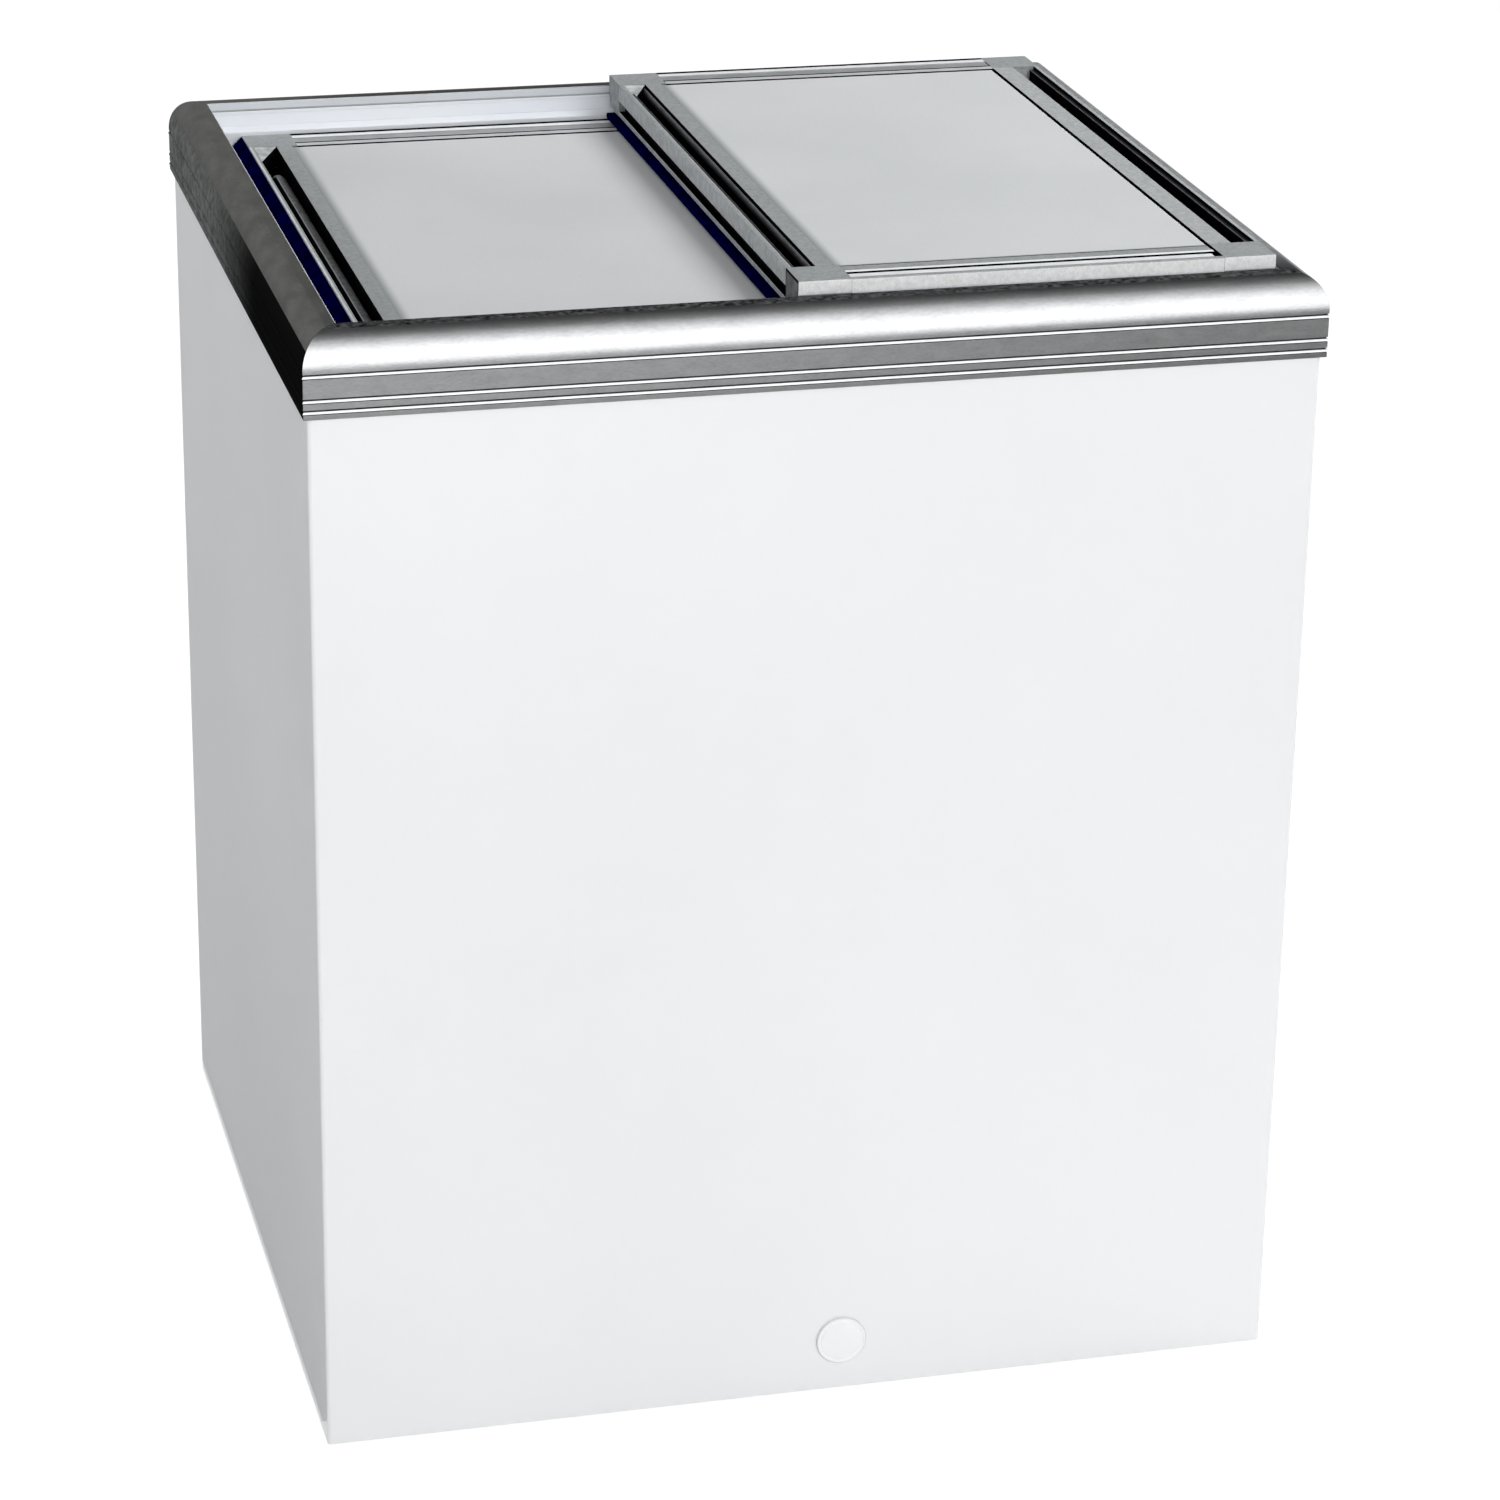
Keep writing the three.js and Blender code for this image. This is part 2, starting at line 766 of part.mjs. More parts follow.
function buildCoils() {
  const evaporator = tube(evaporatorRoute(), { radius: coil.radius, bend: 44, steps: 4 });
  add("evaporator_coil", evaporator, copper);
  const serpentine = tube(condenserRoute(), { radius: condenser.radius, bend: 18, steps: 3 });
  add("condenser_coil", serpentine, copper);
}

function buildCompressor() {
  const { x, y, plateZ, radius, top } = motor;
  const shell = turned([
    [0, plateZ + 2],
    [radius - 22, plateZ + 2],
    [radius - 6, plateZ + 14],
    [radius, plateZ + 36],
    [radius, plateZ + 86],
    [radius + 3, plateZ + 88],
    [radius + 3, plateZ + 92],
    [radius, plateZ + 94],
    [radius, top - 55],
    [radius - 8, top - 25],
    [radius - 34, top - 5],
    [0, top],
  ]).translate(x, y, 0);
  const footPlate = box(x - 88, x + 88, y - 68, y + 68, plateZ, plateZ + 3);
  add("compressor", surface(join(solid(shell), footPlate)), blackPaint);
  const mountBottom = foot.height + 2.5 + gap;
  const mountTop = plateZ - gap;
  const waist = (mountBottom + mountTop) / 2;
  const profile = [
    [0, mountBottom],
    [12, mountBottom],
    [12, waist - 3],
    [8, waist],
    [12, waist + 3],
    [12, mountTop],
    [0, mountTop],
  ];
  let number = 1;
  for (const dx of [-74, 74])
    for (const dy of [-54, 54]) {
      const mount = add("rubber_mount_" + number++, turned(profile, 12), rubber);
      mount.position.set(x + dx, y + dy, 0);
    }
  const relayBack = y - radius - 0.5;
  const relay = box(x - 26, x + 26, relayBack - 30, relayBack, plateZ + 20, plateZ + 82);
  add("relay_box", relay, blackPlastic);
}

function buildDrier() {
  const neck = 3;
  const radius = 11;
  const length = 117;
  const profile = [
    [0, 0],
    [neck, 0],
    [neck, 10],
    [radius, 22],
    [radius, length - 22],
    [neck, length - 10],
    [neck, length],
    [0, length],
  ];
  const drier = add("filter_drier", turned(profile, 12), copper);
  drier.position.set(bay.left + radius + 3, 0, 70);
}

function buildPipes() {
  const { x, y, radius } = motor;
  const [suctionX, suctionY] = suctionHole;
  const spoke = (angle, reach, z) => [
    x + (radius + reach) * Math.cos(angle),
    y + (radius + reach) * Math.sin(angle),
    z,
  ];
  const aim = Math.atan2(suctionY - y, suctionX - x);
  const suction = [
    spoke(aim, 0.8, 130),
    spoke(aim, 16, 130),
    spoke(aim, 16, 222),
    [suctionX, suctionY, 222],
    [suctionX, suctionY, coil.bottom - coil.radius - 0.8],
  ];
  add("suction_pipe", tube(suction, { radius: coil.radius, bend: 7, steps: 3 }), copper);
  const turn = 0.983; // radians, between the suction pipe and the rear
  const discharge = [
    spoke(turn, 0.8, 150),
    spoke(turn, 18, 150),
    spoke(turn, 18, 231),
    [...dischargeHole, 231],
    [...dischargeHole, pipeTop - 0.4],
  ];
  add("discharge_pipe", tube(discharge, { radius: condenser.radius, bend: 5, steps: 3 }), copper);
}

// Back: louvred grille, control tray, thermostat and cord gland
function buildBack() {
  const face = panelY + gap;
  const plate = 1.8;
  const split = tray.bottom - 10;
  const overlap = 6;
  const left = opening.left - overlap;
  const right = opening.right + overlap;
  const bottom = opening.bottom - overlap;
  const top = opening.top + overlap;
  const slots = [];
  const middle = (left + right) / 2;
  for (let z = opening.bottom + 10; z < split - 12; z += 12)
    for (const side of [-1, 1]) {
      const ends = [middle + side * 5, middle + side * 82].sort((a, b) => a - b);
      slots.push(box(...ends, face - 1, face + plate + 1, z, z + 6));
    }
  const grille = cut(
    solid(box(left, right, face, face + plate, bottom, split - gap)),
    ...slots,
  );
  add("rear_grille", surface(grille), paint);

  const { wall, floor } = tray;
  const flange = solid(box(left, right, face, face + plate, split, top));
  const dish = box(
    tray.left - wall,
    tray.right + wall,
    floor,
    face + 0.5,
    tray.bottom - wall,
    tray.top + wall,
  );
  const body = cut(
    join(flange, dish),
    box(tray.left, tray.right, floor + wall, halfY, tray.bottom, tray.top),
    level(knob.stem + 1, knob.x, controlZ, floor - 1, floor + wall + 1, 16),
    level(gland.radius + 0.5, gland.x, controlZ, floor - 1, floor + wall + 1, 16),
  );
  add("control_tray", surface(body), blackPlastic);

  const bodyBack = floor - gap;
  const thermostat = cut(
    solid(box(knob.x - 22, knob.x + 22, bodyBack - 26, bodyBack, controlZ - 17, controlZ + 17)),
    level(knob.stem + 0.5, knob.x, controlZ, bodyBack - 14, bodyBack + 1, 16),
  );
  add("thermostat_body", surface(thermostat), whitePlastic);

  const knobFront = floor + wall + 0.6;
  const dial = turned(
    [
      [0, 0],
      [knob.radius, 0],
      [knob.radius, 6],
      [knob.radius - 1.5, 8],
      [0, 8],
    ],
    24,
  );
  const wing = box(-3.5, 3.5, 2 - knob.radius, knob.radius - 2, 7.5, 16);
  const stem = upright(knob.stem, 0, 0, -12, 0.5, 16);
  const turnKnob = add("thermostat_knob", surface(join(solid(dial), wing, stem)), whitePlastic);
  turnKnob.rotation.x = -Math.PI / 2;
  turnKnob.position.set(knob.x, knobFront, controlZ);

  const glandBody = join(
    solid(level(gland.radius, gland.x, controlZ, floor - 12, floor + wall + 14, 16)),
    level(gland.radius + 4.5, gland.x, controlZ, floor + wall + gap, floor + wall + 6, 6),
    level(gland.radius + 3.5, gland.x, controlZ, floor - 8, floor - gap, 6),
  );
  add("cord_gland", surface(glandBody), blackPlastic);
}

// Drain: tube from the tank's floor to the front, with a plug at each end
function buildDrain() {
  const { x, y, z, outer, inner, bend } = drain;
  const route = drainRoute(tank.floor - tank.sheet - gap, -panelY + 0.2);
  add("drain_tube", tube(route, { radius: outer, inner, bend, steps: 6, sides: 16 }), whitePlastic);
  const cap = add(
    "drain_cap",
    turned([
      [0, -20],
      [inner - 1.2, -20],
      [inner - 1.2, 0],
      [19, 0],
      [19, 1],
      [18.4, 1.7],
      [16.6, 1.7],
      [16.1, 1.1],
      [15.5, 1.1],
      [15, 2],
      [0, 2.2],
    ]),
    whitePlastic,
  );
  cap.rotation.x = Math.PI / 2;
  cap.position.set(x, -panelY - gap, z);
  const plug = add(
    "tank_drain_plug",
    turned([
      [0, -14],
      [inner - 1.2, -14],
      [inner - 1.2, 0],
      [16, 0],
      [16, 2.5],
      [5, 3.5],
      [4, 7],
      [6, 10],
      [0, 11],
    ]),
    whitePlastic,
  );
  plug.position.set(x, y, tank.floor + gap);
}

buildPanels();
buildBase();
buildTank();
buildFoam();
buildBreakerFrame();
buildRim();
buildLids();
buildCoils();
buildCompressor();
buildDrier();
buildPipes();
buildBack();
buildDrain();

export default freezer;
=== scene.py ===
import json
import math

import bmesh
import bpy
from mathutils import Euler, Matrix, Vector


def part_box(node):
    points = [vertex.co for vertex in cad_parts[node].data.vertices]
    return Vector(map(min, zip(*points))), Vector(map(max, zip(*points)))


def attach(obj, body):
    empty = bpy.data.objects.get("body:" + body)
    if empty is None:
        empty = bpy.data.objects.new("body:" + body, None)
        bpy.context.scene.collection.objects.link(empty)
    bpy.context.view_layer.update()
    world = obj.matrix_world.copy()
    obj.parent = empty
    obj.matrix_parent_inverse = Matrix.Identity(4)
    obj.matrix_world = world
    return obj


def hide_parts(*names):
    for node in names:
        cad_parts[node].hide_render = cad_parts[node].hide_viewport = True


# A chest freezer with two sliding lids; its dressed pieces are fitted to the frame's nodes.
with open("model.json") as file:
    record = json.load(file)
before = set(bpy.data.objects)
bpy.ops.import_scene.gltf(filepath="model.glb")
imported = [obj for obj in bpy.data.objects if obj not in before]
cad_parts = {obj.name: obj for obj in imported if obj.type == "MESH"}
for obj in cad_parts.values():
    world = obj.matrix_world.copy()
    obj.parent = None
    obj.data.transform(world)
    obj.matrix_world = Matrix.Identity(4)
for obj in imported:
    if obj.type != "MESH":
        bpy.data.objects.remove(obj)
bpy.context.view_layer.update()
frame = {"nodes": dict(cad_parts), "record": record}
mm = 0.001
print("frame loaded:", len(frame["nodes"]), "nodes")

camera = {
    "place": (-0.8205, -3.2836, 1.7593),
    "turn": (67.975, -0.89, -14.222),  # degrees
    "lens": 113.61,
}
stage = {
    "floorSize": 14,
    "floorWhite": 0.68,
    "floorGlow": 1.3,
    "shadowShare": 0.3,  # how much of its own shading the floor shows
    "fill": 0.38,  # light from all round
    "fillColour": (0.97, 0.985, 1.0),
    "aim": (0, 0, 0.5),  # where the lamps point
}
lamps = [  # name, place, size, power, colour
    ("frontSoftbox", (0.2, -4.6, 1.9), (3.4, 2.6), 116, (1.0, 0.995, 0.985)),
    ("rightSoftbox", (2.1, 0.3, 3.1), (2.0, 1.6), 82, (0.98, 0.99, 1.0)),
    ("leftSoftbox", (-3.0, 0.9, 1.35), (1.6, 1.4), 28, (0.98, 0.99, 1.0)),
]
# Cards that only show in reflections; the level of each runs along one axis.
cards = [
    {"name": "frontCard", "place": (0.3, -3.9, 2.66), "turn": (56.3, -10, 0), "size": (7.0, 6.1),
     "axis": "Z", "span": (2.6, 5.2), "levels": (3.0, 0.82)},
    {"name": "ceilingDrape", "place": (0.0, 1.4, 5.0), "turn": (0, 0, 0), "size": (9.0, 6.0),
     "axis": "Y", "span": (-1.6, 0.8), "levels": (0.42, 0.11)},
    {"name": "rearDrapeLeft", "place": (-1.8, 1.3, 1.9), "turn": (90, 0, 0), "size": (3.4, 3.8),
     "axis": "Z", "span": (0.38, 0.9), "levels": (0.0, 0.19)},
    {"name": "rearDrapeRight", "place": (1.7, 1.3, 2.4), "turn": (90, 0, 0), "size": (3.6, 3.0),
     "axis": "X", "span": (-0.1, 1.2), "levels": (0.09, 0.05)},
    {"name": "frontFloorCard", "place": (0.0, -2.6, 0.01), "turn": (0, 0, 0), "size": (7.0, 4.0),
     "axis": "X", "span": (0.35, 1.3), "levels": (0.47, 0.0)},
    {"name": "leftFloorDrape", "place": (-2.0, 0.5, 0.012), "turn": (0, 0, 0), "size": (3.3, 1.6),
     "axis": "X", "span": (-3.0, 0.0), "levels": (0.04, 0.04)},
]


def makeCamera():
    data = bpy.data.cameras.new("camera")
    data.lens = camera["lens"]
    data.sensor_width = 36
    data.clip_end = 50
    eye = bpy.data.objects.new("camera", data)
    eye.location = camera["place"]
    eye.rotation_euler = Euler([math.radians(a) for a in camera["turn"]], "XYZ")
    bpy.context.scene.collection.objects.link(eye)
    bpy.context.scene.camera = eye


def newObject(name, shape, finishes):
    mesh = bpy.data.meshes.new(name)
    shape.to_mesh(mesh)
    shape.free()
    for finish in finishes:
        mesh.materials.append(finish)
    made = bpy.data.objects.new(name, mesh)
    bpy.context.scene.collection.objects.link(made)
    return made


def flatCard(name, place, turn, size, finish):
    card = bmesh.new()
    bmesh.ops.create_grid(card, x_segments=1, y_segments=1, size=0.5)
    bmesh.ops.scale(card, verts=card.verts, vec=(size[0], size[1], 1))
    turned = Euler([math.radians(a) for a in turn], "XYZ").to_matrix().to_4x4()
    bmesh.ops.transform(card, matrix=Matrix.Translation(place) @ turned, verts=card.verts)
    made = newObject(name, card, [finish])
    return made


def seenDirectly(nodes, links):
    path = nodes.new("ShaderNodeLightPath")
    seen = path.outputs["Is Camera Ray"]
    for ray in ("Is Glossy Ray", "Is Transmission Ray"):
        either = nodes.new("ShaderNodeMath")
        either.operation = "MAXIMUM"
        links.new(seen, either.inputs[0])
        links.new(path.outputs[ray], either.inputs[1])
        seen = either.outputs[0]
    return seen


def setInputs(node, values):
    for key, value in values.items():
        node.inputs[key].default_value = value


def emptyNodes(owner):
    owner.use_nodes = True
    owner.node_tree.nodes.clear()
    return owner.node_tree.nodes, owner.node_tree.links


def mixedSurface(nodes, links, share, plain, seen, outputType):
    mix = nodes.new("ShaderNodeMixShader")
    out = nodes.new(outputType)
    for source, socket in zip((share, plain.outputs[0], seen.outputs[0]), mix.inputs):
        links.new(source, socket)
    links.new(mix.outputs[0], out.inputs["Surface"])


def makeStage():
    world = bpy.data.worlds.new("studio")
    bpy.context.scene.world = world
    nodes, links = emptyNodes(world)
    fill = nodes.new("ShaderNodeBackground")
    setInputs(fill, {"Color": (*stage["fillColour"], 1), "Strength": stage["fill"]})
    white = nodes.new("ShaderNodeBackground")
    setInputs(white, {"Color": (1, 1, 1, 1), "Strength": 1.0})
    mixedSurface(nodes, links, seenDirectly(nodes, links), fill, white, "ShaderNodeOutputWorld")

    floor = bpy.data.materials.new("paleFloor")
    nodes, links = emptyNodes(floor)
    shaded = nodes.new("ShaderNodeBsdfDiffuse")
    setInputs(shaded, {"Color": (stage["floorWhite"],) * 3 + (1,)})
    glow = nodes.new("ShaderNodeEmission")
    setInputs(glow, {"Strength": stage["floorGlow"]})
    share = nodes.new("ShaderNodeMath")
    share.operation = "MULTIPLY"
    setInputs(share, {1: 1 - stage["shadowShare"]})
    links.new(seenDirectly(nodes, links), share.inputs[0])
    mixedSurface(nodes, links, share.outputs[0], shaded, glow, "ShaderNodeOutputMaterial")
    flatCard("floor", (0, 0, 0), (0, 0, 0), (stage["floorSize"],) * 2, floor)


def makeLights():
    for name, place, size, power, colour in lamps:
        data = bpy.data.lights.new(name, "AREA")
        data.shape = "RECTANGLE"
        data.size, data.size_y = size
        data.energy = power
        data.color = colour
        lamp = bpy.data.objects.new(name, data)
        lamp.location = place
        aim = Vector(stage["aim"]) - Vector(place)
        lamp.rotation_euler = aim.to_track_quat("-Z", "Y").to_euler()
        lamp.visible_glossy = False
        bpy.context.scene.collection.objects.link(lamp)
    for card in cards:
        finish = bpy.data.materials.new(card["name"])
        nodes, links = emptyNodes(finish)
        places = nodes.new("ShaderNodeTexCoord")
        split = nodes.new("ShaderNodeSeparateXYZ")
        level = nodes.new("ShaderNodeMapRange")
        for key, (low, high) in (("From", card["span"]), ("To", card["levels"])):
            setInputs(level, {key + " Min": low, key + " Max": high})
        shine = nodes.new("ShaderNodeEmission")
        out = nodes.new("ShaderNodeOutputMaterial")
        links.new(places.outputs["Object"], split.inputs[0])
        links.new(split.outputs[card["axis"]], level.inputs["Value"])
        links.new(level.outputs["Result"], shine.inputs["Strength"])
        links.new(shine.outputs[0], out.inputs["Surface"])
        made = flatCard(card["name"], card["place"], card["turn"], card["size"], finish)
        for ray in ("camera", "diffuse", "shadow", "transmission", "volume_scatter"):
            setattr(made, "visible_" + ray, False)


bpy.context.scene.view_settings.view_transform = "Standard"
makeCamera()
makeStage()
makeLights()
print("camera and light ready")


noises = {"patchBand": (0.35, 0.65), "patchDetail": 4, "fineDetail": 3,
          "speckBand": (0.3, 0.6), "speckDark": 0.55}


# A finish: two close colours that a noise mixes, a roughness, and a fine relief.
def newFinish(name, settings):
    finish = bpy.data.materials.new(name)
    finish.use_nodes = True
    nodes = finish.node_tree.nodes
    links = finish.node_tree.links
    shader = nodes["Principled BSDF"]
    setInputs(shader, {
        "Metallic": settings.get("metal", 0),
        "IOR": settings.get("ior", 1.5),
        "Specular IOR Level": settings.get("specular", 0.5),
        "Coat Weight": settings.get("coat", 0),
        "Coat Roughness": 0.1,
    })
    places = nodes.new("ShaderNodeTexCoord")

    def noise(scale, stretch, detail):
        spread = nodes.new("ShaderNodeMapping")
        setInputs(spread, {"Scale": stretch})
        made = nodes.new("ShaderNodeTexNoise")
        setInputs(made, {"Scale": scale, "Detail": detail})
        links.new(places.outputs["Object"], spread.inputs["Vector"])
        links.new(spread.outputs["Vector"], made.inputs["Vector"])
        return made.outputs["Fac"]

    def banded(source, band, colours):
        ramp = nodes.new("ShaderNodeValToRGB")
        for stop, place, colour in zip(ramp.color_ramp.elements, band, colours):
            stop.position = place
            stop.color = (*colour, 1)
        links.new(source, ramp.inputs["Fac"])
        return ramp.outputs["Color"]

    def colourMix(second):
        blend = nodes.new("ShaderNodeMix")
        blend.data_type = "RGBA"
        links.new(second, blend.inputs[7])
        return blend

    stretch = settings.get("stretch", (1, 1, 1))
    patches = noise(settings["patchScale"], settings.get("patchStretch", (1, 1, 1)),
                    noises["patchDetail"])
    colour = banded(patches, noises["patchBand"], (settings["dark"], settings["pale"]))
    fine = noise(settings.get("grainScale", 900), stretch, noises["fineDetail"])
    if settings.get("speckle"):
        specks = banded(fine, noises["speckBand"], ((noises["speckDark"],) * 3, (1, 1, 1)))
        blend = colourMix(specks)
        blend.blend_type = "MULTIPLY"
        setInputs(blend, {0: settings["speckle"]})
        links.new(colour, blend.inputs[6])
        colour = blend.outputs[2]
    # Painted shade: below each start the colour is shadeColour, and it fades to the finish's own
    # colour by the end.
    for axis, start, end in settings.get("shadeFades", ()):
        split = nodes.new("ShaderNodeSeparateXYZ")
        fade = nodes.new("ShaderNodeMapRange")
        fade.interpolation_type = "SMOOTHSTEP"
        setInputs(fade, {"From Min": start, "From Max": end})
        blend = colourMix(colour)
        setInputs(blend, {6: (*settings["shadeColour"], 1)})
        links.new(places.outputs["Object"], split.inputs[0])
        links.new(split.outputs[axis], fade.inputs["Value"])
        links.new(fade.outputs["Result"], blend.inputs[0])
        colour = blend.outputs[2]
    links.new(colour, shader.inputs["Base Color"])
    spreadRough = nodes.new("ShaderNodeMapRange")
    low, high = settings["rough"]
    setInputs(spreadRough, {"To Min": low, "To Max": high})
    uneven = noise(settings.get("roughScale", 40), stretch, noises["fineDetail"])
    links.new(uneven, spreadRough.inputs["Value"])
    links.new(spreadRough.outputs["Result"], shader.inputs["Roughness"])
    bump = nodes.new("ShaderNodeBump")
    setInputs(bump, {"Strength": settings["relief"],
                     "Distance": settings.get("reliefDepth", 0.0002)})
    links.new(fine, bump.inputs["Height"])
    links.new(bump.outputs["Normal"], shader.inputs["Normal"])
    return finish


whitePaint = newFinish("whitePowderCoat", {
    "dark": (0.83, 0.84, 0.85), "pale": (0.86, 0.87, 0.88), "rough": (0.34, 0.44),
    "patchScale": 2.5, "grainScale": 700, "relief": 0.10, "specular": 0.4,
})
rimMetal = {"dark": (0.395, 0.40, 0.405), "pale": (0.44, 0.445, 0.45), "rough": (0.27, 0.33),
            "metal": 1, "patchScale": 160, "grainScale": 700, "relief": 0.2, "speckle": 0.26,
            "roughScale": 200}
rimMetalX = newFinish("satinRimMetalX", {
    **rimMetal, "stretch": (0.4, 1, 1), "patchStretch": (0.3, 1, 1),
})
rimMetalY = newFinish("satinRimMetalY", {
    **rimMetal, "stretch": (1, 0.4, 1), "patchStretch": (1, 0.3, 1),
})
rimMottle = {**rimMetal, "stretch": (1, 0.4, 1), "patchStretch": (1, 0.5, 1), "patchScale": 75,
             "speckle": 0.3}
rimMottled = newFinish("mottledRimTop", {
    **rimMottle, "dark": (0.37, 0.38, 0.36), "pale": (0.51, 0.52, 0.49),
})
rimMottledArc = newFinish("mottledRimArc", {
    **rimMottle, "dark": (0.38, 0.39, 0.375), "pale": (0.53, 0.54, 0.52),
})
rimSideShade = newFinish("shadedRimSide", {
    "dark": (0.075, 0.078, 0.076), "pale": (0.16, 0.165, 0.161), "rough": (0.6, 0.75),
    "patchScale": 140, "grainScale": 800, "relief": 0.15, "specular": 0.05,
    "shadeFades": [("Y", -0.12, 0.14)], "shadeColour": (0.0006, 0.0006, 0.0007),
})
# Painted reflection: a paler non-metal copy of the rim metal for the right rim's flat top, with
# painted shade fading in towards the front.
rimTopPaintedLight = newFinish("paintedLightRimTop", {
    "dark": (0.185, 0.195, 0.197), "pale": (0.275, 0.285, 0.287), "rough": (0.4, 0.55),
    "patchScale": 120, "relief": 0.15, "specular": 0.3,
    "shadeFades": [("Y", -0.31, -0.22)], "shadeColour": (0.022, 0.023, 0.024),
})
rimShade = newFinish("shadedRimTop", {
    "dark": (0.0005, 0.0005, 0.001), "pale": (0.07, 0.072, 0.073), "rough": (0.7, 0.85),
    "patchScale": 240, "grainScale": 700, "relief": 0.3, "specular": 0.1,
})
# Painted highlight: a pale finish for thin bright edges and lines on the rim and the grips.
arrisPaintedHighlight = newFinish("paintedArrisHighlight", {
    "dark": (0.5, 0.51, 0.52), "pale": (0.66, 0.67, 0.68), "rough": (0.3, 0.45),
    "patchScale": 90, "relief": 0.05,
})
liner = {"patchStretch": (0.3, 1, 1), "stretch": (0.15, 1, 1), "grainScale": 500, "relief": 0.04}
trackLiner = newFinish("trackLiner", {
    **liner, "dark": (0.74, 0.765, 0.80), "pale": (0.79, 0.81, 0.84), "rough": (0.25, 0.36),
    "patchScale": 14,
})
lipLiner = newFinish("lipLiner", {
    **liner, "dark": (0.56, 0.585, 0.62), "pale": (0.62, 0.645, 0.68), "rough": (0.3, 0.42),
    "patchScale": 20,
})
thinLine = {"rough": (0.3, 0.45), "patchScale": 60, "relief": 0.06}
# Painted highlights: the pale strips and white lines along the lids' edges and on the sheets' seam
# bevels.
stripPaintedHighlight = newFinish("paintedHighlightStrip", {
    **thinLine, "dark": (0.74, 0.75, 0.76), "pale": (0.84, 0.85, 0.86), "rough": (0.28, 0.4),
    "relief": 0.05,
})
linePaintedHighlight = newFinish("paintedHighlightLine", {
    **thinLine, "dark": (0.86, 0.87, 0.88), "pale": (0.92, 0.93, 0.94), "rough": (0.25, 0.35),
    "relief": 0.04,
})
# Each lid's sheet adds painted shade (shadeColour) along its left and front edges.
lidSheet = {
    "dark": (0.585, 0.595, 0.60), "pale": (0.625, 0.632, 0.635), "rough": (0.42, 0.52),
    "patchScale": 5, "grainScale": 750, "relief": 0.08, "speckle": 0.1, "specular": 0.35,
    "shadeColour": (0.25, 0.265, 0.268),
}
satinFrame = {"rough": (0.4, 0.55), "patchScale": 330, "grainScale": 720, "relief": 0.14,
              "specular": 0.4}
lidFrame = newFinish("satinLidFrame", {
    **satinFrame, "dark": (0.275, 0.29, 0.292), "pale": (0.36, 0.375, 0.377), "speckle": 0.38,
})
# Painted light: a paler copy of the lid frame colour for its front-facing faces.
frontFacePaintedLight = newFinish("paintedLightLidFace", {
    "dark": (0.72, 0.732, 0.736), "pale": (0.82, 0.83, 0.832), "rough": (0.35, 0.5),
    "patchScale": 260, "grainScale": 720, "relief": 0.12, "speckle": 0.25,
})
endFace = {"rough": (0.4, 0.55), "patchScale": 190, "grainScale": 1000, "relief": 0.12,
           "speckle": 0.25, "specular": 0.4}
# Painted shade: a darker, mottled copy of the frame colour for the corner blocks' outer faces.
sideFacePaintedShade = newFinish("paintedShadeSideFace", {
    **endFace, "dark": (0.20, 0.21, 0.22), "pale": (0.31, 0.325, 0.335),
})
sideShade = newFinish("shadedEndFace", {
    "dark": (0.018, 0.02, 0.021), "pale": (0.12, 0.126, 0.13), "rough": (0.45, 0.6),
    "patchScale": 110, "grainScale": 1000, "relief": 0.12, "specular": 0.3,
})
# Painted light: a pale copy of the frame colour for the upward faces of the rear left slopes.
scoopPaintedLight = newFinish("paintedLightScoop", {
    "dark": (0.34, 0.35, 0.355), "pale": (0.62, 0.63, 0.635), "rough": (0.35, 0.5),
    "patchScale": 130, "grainScale": 1000, "relief": 0.1, "speckle": 0.15,
})
bead = {**thinLine, "patchScale": 120, "relief": 0.1}
# Painted shade on the grips' beads, with a lighter band of painted highlight at the inner bead's
# top.
beadPaintedShade = newFinish("beadPaintedShade", {
    **bead, "dark": (0.07, 0.072, 0.075), "pale": (0.14, 0.143, 0.147),
})
beadPaintedHighlight = newFinish("paintedHighlightBead", {
    **bead, "dark": (0.12, 0.123, 0.126), "pale": (0.20, 0.203, 0.207),
})
# Painted light: a paler copy of the frame colour for the right grip's bar and flange tops and a
# bright strip on the left grip's bar.
gripPaintedLight = newFinish("paintedLightGrip", {
    **satinFrame, "dark": (0.35, 0.365, 0.368), "pale": (0.46, 0.475, 0.478), "speckle": 0.35,
})
# Painted light: a paler copy of the frame colour for the grips' outer faces above and below the
# recess.
sideFacePaintedLight = newFinish("paintedLightSideFace", {
    **endFace, "dark": (0.29, 0.30, 0.31), "pale": (0.41, 0.425, 0.43),
})
ledgeShade = newFinish("shadedLedge", {
    "dark": (0.012, 0.012, 0.013), "pale": (0.03, 0.03, 0.032), "rough": (0.5, 0.65),
    "patchScale": 160, "relief": 0.1, "specular": 0.3,
})
rodGrey = newFinish("rodGrey", {
    "dark": (0.05, 0.053, 0.053), "pale": (0.17, 0.173, 0.173), "rough": (0.25, 0.4),
    "metal": 0.5, "patchScale": 210, "relief": 0.12,
})
# Painted shade in the groove of the rim's inner lip.
lipGroovePaintedShade = newFinish("paintedShadeLipGroove", {
    **thinLine, "dark": (0.42, 0.43, 0.435), "pale": (0.48, 0.49, 0.495),
})
# The rear edge's grey band in the frame's own tone; on the pull rod, a painted highlight strip.
bandGreyAndRodHighlight = newFinish("greyBandAndRodHighlight", {
    **thinLine, "dark": (0.26, 0.268, 0.272), "pale": (0.31, 0.318, 0.322),
})
